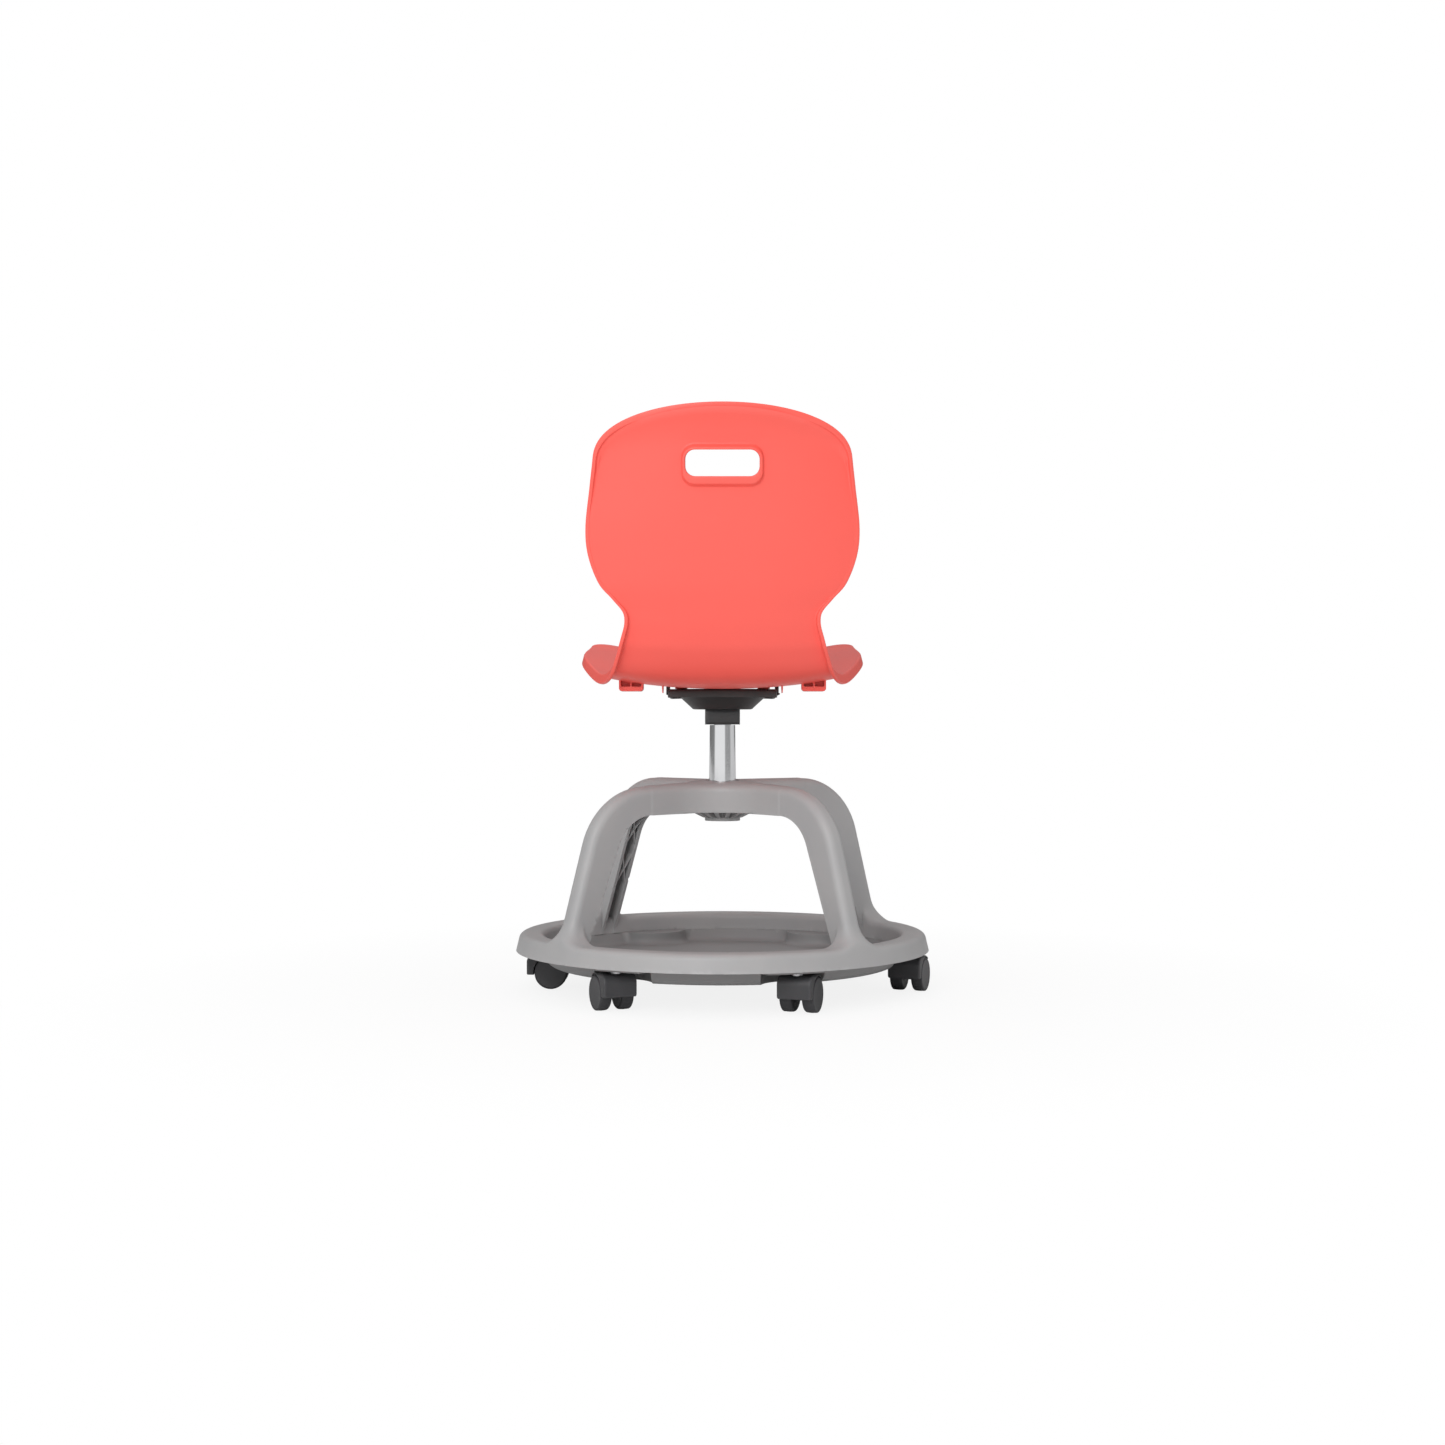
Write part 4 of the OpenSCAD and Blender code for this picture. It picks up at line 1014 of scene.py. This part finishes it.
def base_field(x, y, z):
    """The base as one field over arrays of places, before its turn about the column."""
    r = np.hypot(x, y)
    draft = (((r - RING_R) * RING_RISE + (z - RING_Z) * RING_LEAN)
             / math.hypot(RING_RISE, RING_LEAN))
    inner = RING_IN - r
    ring = in_all(round_both(draft, z - RING_TOP, RING_ROUND),
                  round_both(inner, z - RING_TOP, RING_INNER_ROUND))
    legs, arched, rooms, plans = leg_fields(x, y, z)
    # the feet flow into the ring, inside the ring's own outline
    feet = soft_both(soft_either(ring, legs, FEET_FILLET), draft, 1.5)
    feet = soft_both(feet, inner - 2, 6)
    solid = soft_either(in_any(feet, arched), hub_field(y, z, r, plans), 3)
    solid = soft_both(solid, draft, 1.0)
    # the room under the ring, and the room in the legs as far as it stays clear of the ring
    ring_room = in_all(ring + SKIN_WALL, z - RING_TOP + SKIN_WALL)
    leg_room = in_all(rooms, -in_all(ring, RING_IN - NEAR_RING - r))
    solid = in_all(solid, -ring_room, -leg_room, BORE_R - r)
    solid = soft_both(solid, -in_all(r - MOUTH_R, HUB_TOP - MOUTH_DEPTH - z), 2.4)
    return in_all(solid, RING_Z - z)

# %% [markdown]
# The base swivels under the seat and stands turned by a few degrees. What belongs to it is made
# square to the chair and then turned about the column.

# %% The base frame's skin


def turned(points, degrees):
    """Points turned clockwise about the column, seen from above."""
    c, s = math.cos(math.radians(degrees)), math.sin(math.radians(degrees))
    x, y = points[:, 0], points[:, 1]
    return np.stack([x * c + y * s, y * c - x * s, points[:, 2]], 1)


base_points, base_quads = skin_of(base_field, (-304, -304, 54), (304, 304, 310), 2.9)
report(piece("base_skin", turned(base_points, BASE_TURN), [base_quads], "base", "frame_grey",
             stands_for=("base_frame",), crisp=42))

# %% [markdown]
# Ribs stiffen the moulding where the eye can still reach: a ring of webs round the boss under the
# hub, and crosses of thin ribs inside each leg's open channel. The boss is turned, with a radius
# that steps between core and web round the circle. A leg rib is a thin plate, and its two edges are
# found by walking across the leg until the walk meets the outer wall and the open side.

# %% Webs round the hub's boss and ribs in the legs
# each level's height, the radius between the webs and the radius over them
BOSS_LEVELS = ((245.0, 22.3, 22.3), (245.0, 25.2, 25.2), (245.4, 25.7, 25.7),
               (249.4, 25.7, 25.7), (249.6, 24.0, 28.5), (251.5, 23.0, 32.5),
               (255.0, 23.0, 39.5), (258.0, 24.0, 45.0), (262.0, 24.0, 48.5),
               (262.0, 22.3, 22.3))


def webbed_boss(webs=16, per_web=10):
    """A core with webs that reach a cone: the radius goes from core to cone and back once per
    web, with short ramps."""
    t = np.linspace(0, 2 * np.pi, webs * per_web, endpoint=False)
    phase = (np.arange(webs * per_web) % per_web) / per_web
    web = np.clip(4 - np.abs(phase - 0.5) * 14, 0, 1)
    levels = []
    for z, core, cone in BOSS_LEVELS:
        r = core + (cone - core) * web
        levels.append(np.stack([r * np.cos(t), r * np.sin(t), z + 0 * t], -1))
    return closed_stack(levels, weld_it=True)


piece("hub_boss", *webbed_boss(), "base", "frame_grey", crisp=30)

RIB_REACH, RIB_HALF, CROSS_WIDTH, CROSS_LENGTH = 31, 0.9, 21, 52
RIB_SPREAD = math.atan(CROSS_WIDTH / CROSS_LENGTH)
# the middle of each cross in the leg's side view, and its tilt
CROSSES = (((222, 162.4), 18), ((196, 222.4), 24), ((102, 277.4), 90))


def leg_rib(drop, place, tilt, way):
    """One thin plate of a cross about `place` in the leg's side view, in (across, out, up)."""
    tilt = math.radians(tilt)
    along_it = np.array([way * math.sin(RIB_SPREAD), -math.cos(RIB_SPREAD) * math.sin(tilt),
                         math.cos(RIB_SPREAD) * math.cos(tilt)])
    inward = np.array([0, math.cos(tilt), math.sin(tilt)])
    t, walk = np.linspace(-RIB_REACH, RIB_REACH, 13), np.linspace(-60, 60, 481)
    spots = (np.array([0, *place]) + t[:, None, None] * along_it
             + walk[None, :, None] * inward)
    outer, arch = leg_side(spots[..., 1], spots[..., 2], drop)
    wall = round_both(outer, np.abs(spots[..., 0]) - LEG_HALF, LEG_ROUND)
    inside = (wall < -1.8) & (outer < -4.4) & (arch > 1.2)
    rows = np.arange(len(t))
    first = spots[rows, inside.argmax(axis=1)]
    last = spots[rows, len(walk) - 1 - inside[:, ::-1].argmax(axis=1)]
    half = np.cross(along_it, inward) * RIB_HALF
    points = np.stack([first - half, first + half, last + half, last - half], 1)
    caps = np.array([np.arange(4), (len(t) - 1) * 4 + np.arange(4)[::-1]])
    faces = [grid_faces(len(t), 4, wrap=True)[:, ::-1], caps]
    if way < 0:
        faces = [f[:, ::-1] for f in faces]
    return points.reshape(-1, 3), faces


ribs = []
for azimuth, drop in LEGS:
    for place, tilt in CROSSES:
        for way in (-1, 1):
            points, faces = leg_rib(drop, place, tilt, way)
            ribs.append((turned(points, azimuth + BASE_TURN), faces))
report(piece("leg_ribs", *joined(ribs), "base", "frame_grey", crisp=30))

# %% [markdown]
# ## The storage tray
# The tray is a shallow round bowl that hangs in the ring. Where a castor turns beneath it, the
# floor is raised into a round-cornered housing. It is written as a distance field like the base:
# the bowl and the housings are blended, so the corner between them is a soft fillet.

# %% The tray as a field
TRAY_Z, TRAY_WALL, TRAY_LID, TRAY_ROUND = 37.4, 3.4, 56.0, 9
TRAY_RISE, TRAY_LEAN = 22, 8
CASTOR_R, HOUSING_R, LID_R = 268.0, 52.4, 289.8
CASTOR_AZIMUTHS = (27, -27, 87, -87, 150, -150)
DRAINS, DRAIN_R, DRAIN_RING = 8, 3.0, 98


def around(radius, azimuth):
    """A place at that radius and azimuth, before the base's turn."""
    return radius * math.sin(math.radians(azimuth)), radius * math.cos(math.radians(azimuth))


def from_place(x, y, place):
    """Distance in plan from a place: the root of the two squares."""
    return np.hypot(x - place[0], y - place[1])


def tray_field(x, y, z):
    """Bowl, castor housings, their lids under the ring and the drain holes."""
    r = np.hypot(x, y)
    slope = (((r - RING_IN - TRAY_WALL) * TRAY_RISE - (z - RING_Z) * TRAY_LEAN)
             / math.hypot(TRAY_RISE, TRAY_LEAN))
    bowl = round_both(slope, TRAY_Z - z, TRAY_ROUND)
    over_castors = in_any(*(from_place(x, y, around(CASTOR_R, azimuth)) - HOUSING_R
                            for azimuth in CASTOR_AZIMUTHS))
    housing = round_both(over_castors, z - RING_Z, 5)
    skin = soft_either(in_all(bowl, -(bowl + TRAY_WALL)), housing, 12)
    lid = in_all(over_castors, r - LID_R, TRAY_LID - z)
    skin = in_any(in_all(skin, bowl), lid)
    room = in_all(over_castors + TRAY_WALL, z - TRAY_LID)
    drains = in_any(*(from_place(x, y, around(DRAIN_RING, 360 / DRAINS * k)) - DRAIN_R
                      for k in range(DRAINS)))
    return in_all(skin, -room, -drains, z - RING_Z + 0.1)


tray_points, tray_quads = skin_of(tray_field, (-292, -292, 33), (292, 292, 63), 2.6)
report(piece("tray_skin", turned(tray_points, BASE_TURN), [tray_quads], "base", "tray_grey",
             stands_for=("storage_tray",), crisp=42))

# %% [markdown]
# ## The castors
# Each castor has a nylon hood over two wheels on one axle. The hood is a closed skin from a
# field again: the side view is a quarter round over the wheels that meets an upright nose, it is
# carried across the castor with rounded edges, and the room for each wheel is taken out of it.
# It is made once, in the castor's own place, and then put at each swivel axis.

# %% A castor's hood in its own place
WHEEL_R, WHEEL_W, WEB_HALF, TRAIL = 24.0, 17.0, 6.5, 18.0
HOOD_HALF, HOOD_TOP, HOOD_NOSE, NOSE_ROUND = 23.8, 51.5, 17, 12
COVER_R, ROOM_R, WEB_R = 27.5, 25.1, 25.6
FOOT_Z, FOOT_RISE, FOOT_START = 17, 4, -8
# a place on the hood's rear face and the face's direction, as (y, z)
REAR_PLACE, REAR_WAY = (-33.8, 46.5), (0.992, 0.128)


def hood_field(x, y, z):
    """Swivel axis at x = y = 0, nose towards +y, axle across at y = -TRAIL, z = WHEEL_R."""
    reach = np.hypot(y + TRAIL, z - WHEEL_R)
    nose = in_all(round_both(y - HOOD_NOSE, z - HOOD_TOP, NOSE_ROUND), -TRAIL - y)
    foot = FOOT_Z + FOOT_RISE * np.clip((y - FOOT_START) / 17, 0, 1) - z
    rear = -(y - REAR_PLACE[0]) * REAR_WAY[0] - (z - REAR_PLACE[1]) * REAR_WAY[1]
    side = soft_both(soft_both(in_any(reach - COVER_R, nose), foot, 2.5), rear, 3)
    body = round_both(side, np.abs(x) - HOOD_HALF, 2.6)
    body = soft_both(body, -in_all(reach - ROOM_R, WEB_HALF - np.abs(x)), 1.0)
    web = round_both(in_all(reach - WEB_R, foot, -26 - y), np.abs(x) - WEB_HALF, 1.5)
    return in_any(body, web)


hood_points, hood_quads = skin_of(hood_field, (-26.5, -48, 14), (26.5, 19, 54), 1.2)
print("hood faces:", len(hood_quads))

# %% [markdown]
# A wheel is turned, so its skin is a profile carried once round the axle: from the bore over the
# inner face, round the shoulder, across the slightly crowned tread and round the outer shoulder to
# the rebate of the outer disc. The disc is a cap of paler nylon, pressed into that rebate.

# %% A wheel and its cap in their own place


def arc(centre_a, centre_b, radius, start, end, count=6):
    """Points of an arc in the (axial, radial) plane, angles in degrees from the axial way."""
    t = np.radians(np.linspace(start, end, count))
    return np.stack([centre_a + radius * np.cos(t), centre_b + radius * np.sin(t)], 1)


def carried_round(profile, around=72):
    """An (axial, radial) profile carried once round the axle."""
    t = np.linspace(0, 2 * np.pi, around, endpoint=False)
    axial, radial = profile[:, :1], profile[:, 1:]
    points = np.stack([axial + 0 * t, radial * np.cos(t), radial * np.sin(t)], -1)
    return weld(points.reshape(-1, 3), [grid_faces(len(profile), around, wrap=True)])


AXLE_R, INNER_ROUND, OUTER_ROUND = 3.05, 3.6, 1.8
CAP_R, CAP_ROUND, REBATE = 21.6, 0.4, 0.7
SHOULDER_R, CROWN_MIDDLE, CROWN_BEND = WHEEL_R - 0.3, 8.5, 0.012
crown = np.array([[a, WHEEL_R - CROWN_BEND * (a - CROWN_MIDDLE) ** 2]
                  for a in (4.0, 6.5, CROWN_MIDDLE, 10.5, 13.0)])
inner_face = [[12.0, 0.0], [12.0, AXLE_R], [0.0, AXLE_R], [0.0, 8.0], [0.6, 9.0], [0.6, 15.5],
              [0.0, 16.5], [0.0, 20.0]]
outer_face = [[WHEEL_W - 0.1, CAP_R + 0.15], [WHEEL_W - REBATE, CAP_R + 0.1],
              [WHEEL_W - REBATE, 0.0]]
wheel_profile = np.vstack([
    inner_face, arc(INNER_ROUND, SHOULDER_R - INNER_ROUND, INNER_ROUND, 180, 95), crown,
    arc(WHEEL_W - OUTER_ROUND, SHOULDER_R - OUTER_ROUND, OUTER_ROUND, 85, 0), outer_face])
cap_profile = np.vstack([
    [[WHEEL_W - 0.9, 0.0], [WHEEL_W - 0.9, CAP_R]],
    arc(WHEEL_W - 0.1 - CAP_ROUND, CAP_R - CAP_ROUND, CAP_ROUND, 60, 0, 4),
    [[WHEEL_W - 0.25, 20.4], [WHEEL_W - 0.3, 10.0], [WHEEL_W - 0.3, 0.0]]])
wheel_points, wheel_faces = carried_round(wheel_profile)
cap_points, cap_faces = carried_round(cap_profile)
print("wheel points:", len(wheel_points), "cap points:", len(cap_points))

# %% [markdown]
# The CAD model's joints say where each castor swivels and which way its axle points, so hood,
# treads and caps are placed from them. Treads and caps ride on their own wheel and spin with it.

# %% Place every castor
joints = {joint["name"]: joint for joint in frame["record"]["behaviour"]["joints"]}


def at_castor(points, castor):
    """Own place to the chair's: turned until own x lies along the axle, moved to the swivel."""
    axle = joints[castor + "_wheel_inner_spin"]["axis"]
    swivel = joints[castor + "_turn"]["pos_m"]
    moved = turned(points, math.degrees(math.atan2(-axle[1], axle[0])))
    return moved + np.array([swivel[0] / MM, swivel[1] / MM, 0.0])


for castor in ("castor_rear_left", "castor_rear_right", "castor_left", "castor_right",
               "castor_front_left", "castor_front_right"):
    hood = piece(castor + "_cover", at_castor(hood_points, castor), [hood_quads],
                 castor + "_swivel", "hood_black", stands_for=(castor + "_hood",), crisp=45)
    for side, name in ((1, "inner"), (-1, "outer")):
        body = f"{castor}_wheel_{name}"
        for part, points, faces, slot in (("tread", wheel_points, wheel_faces, "hood_black"),
                                          ("cap", cap_points, cap_faces, "wheel_grey")):
            own = points * np.array([side, 1, 1]) + [side * (WEB_HALF + 0.5), -TRAIL, WHEEL_R]
            own_faces = faces if side < 0 else [f[:, ::-1] for f in faces]
            piece(f"{castor}_{part}_{name}", at_castor(own, castor), own_faces, body, slot,
                  stands_for=(body,), crisp=35)
report(hood)
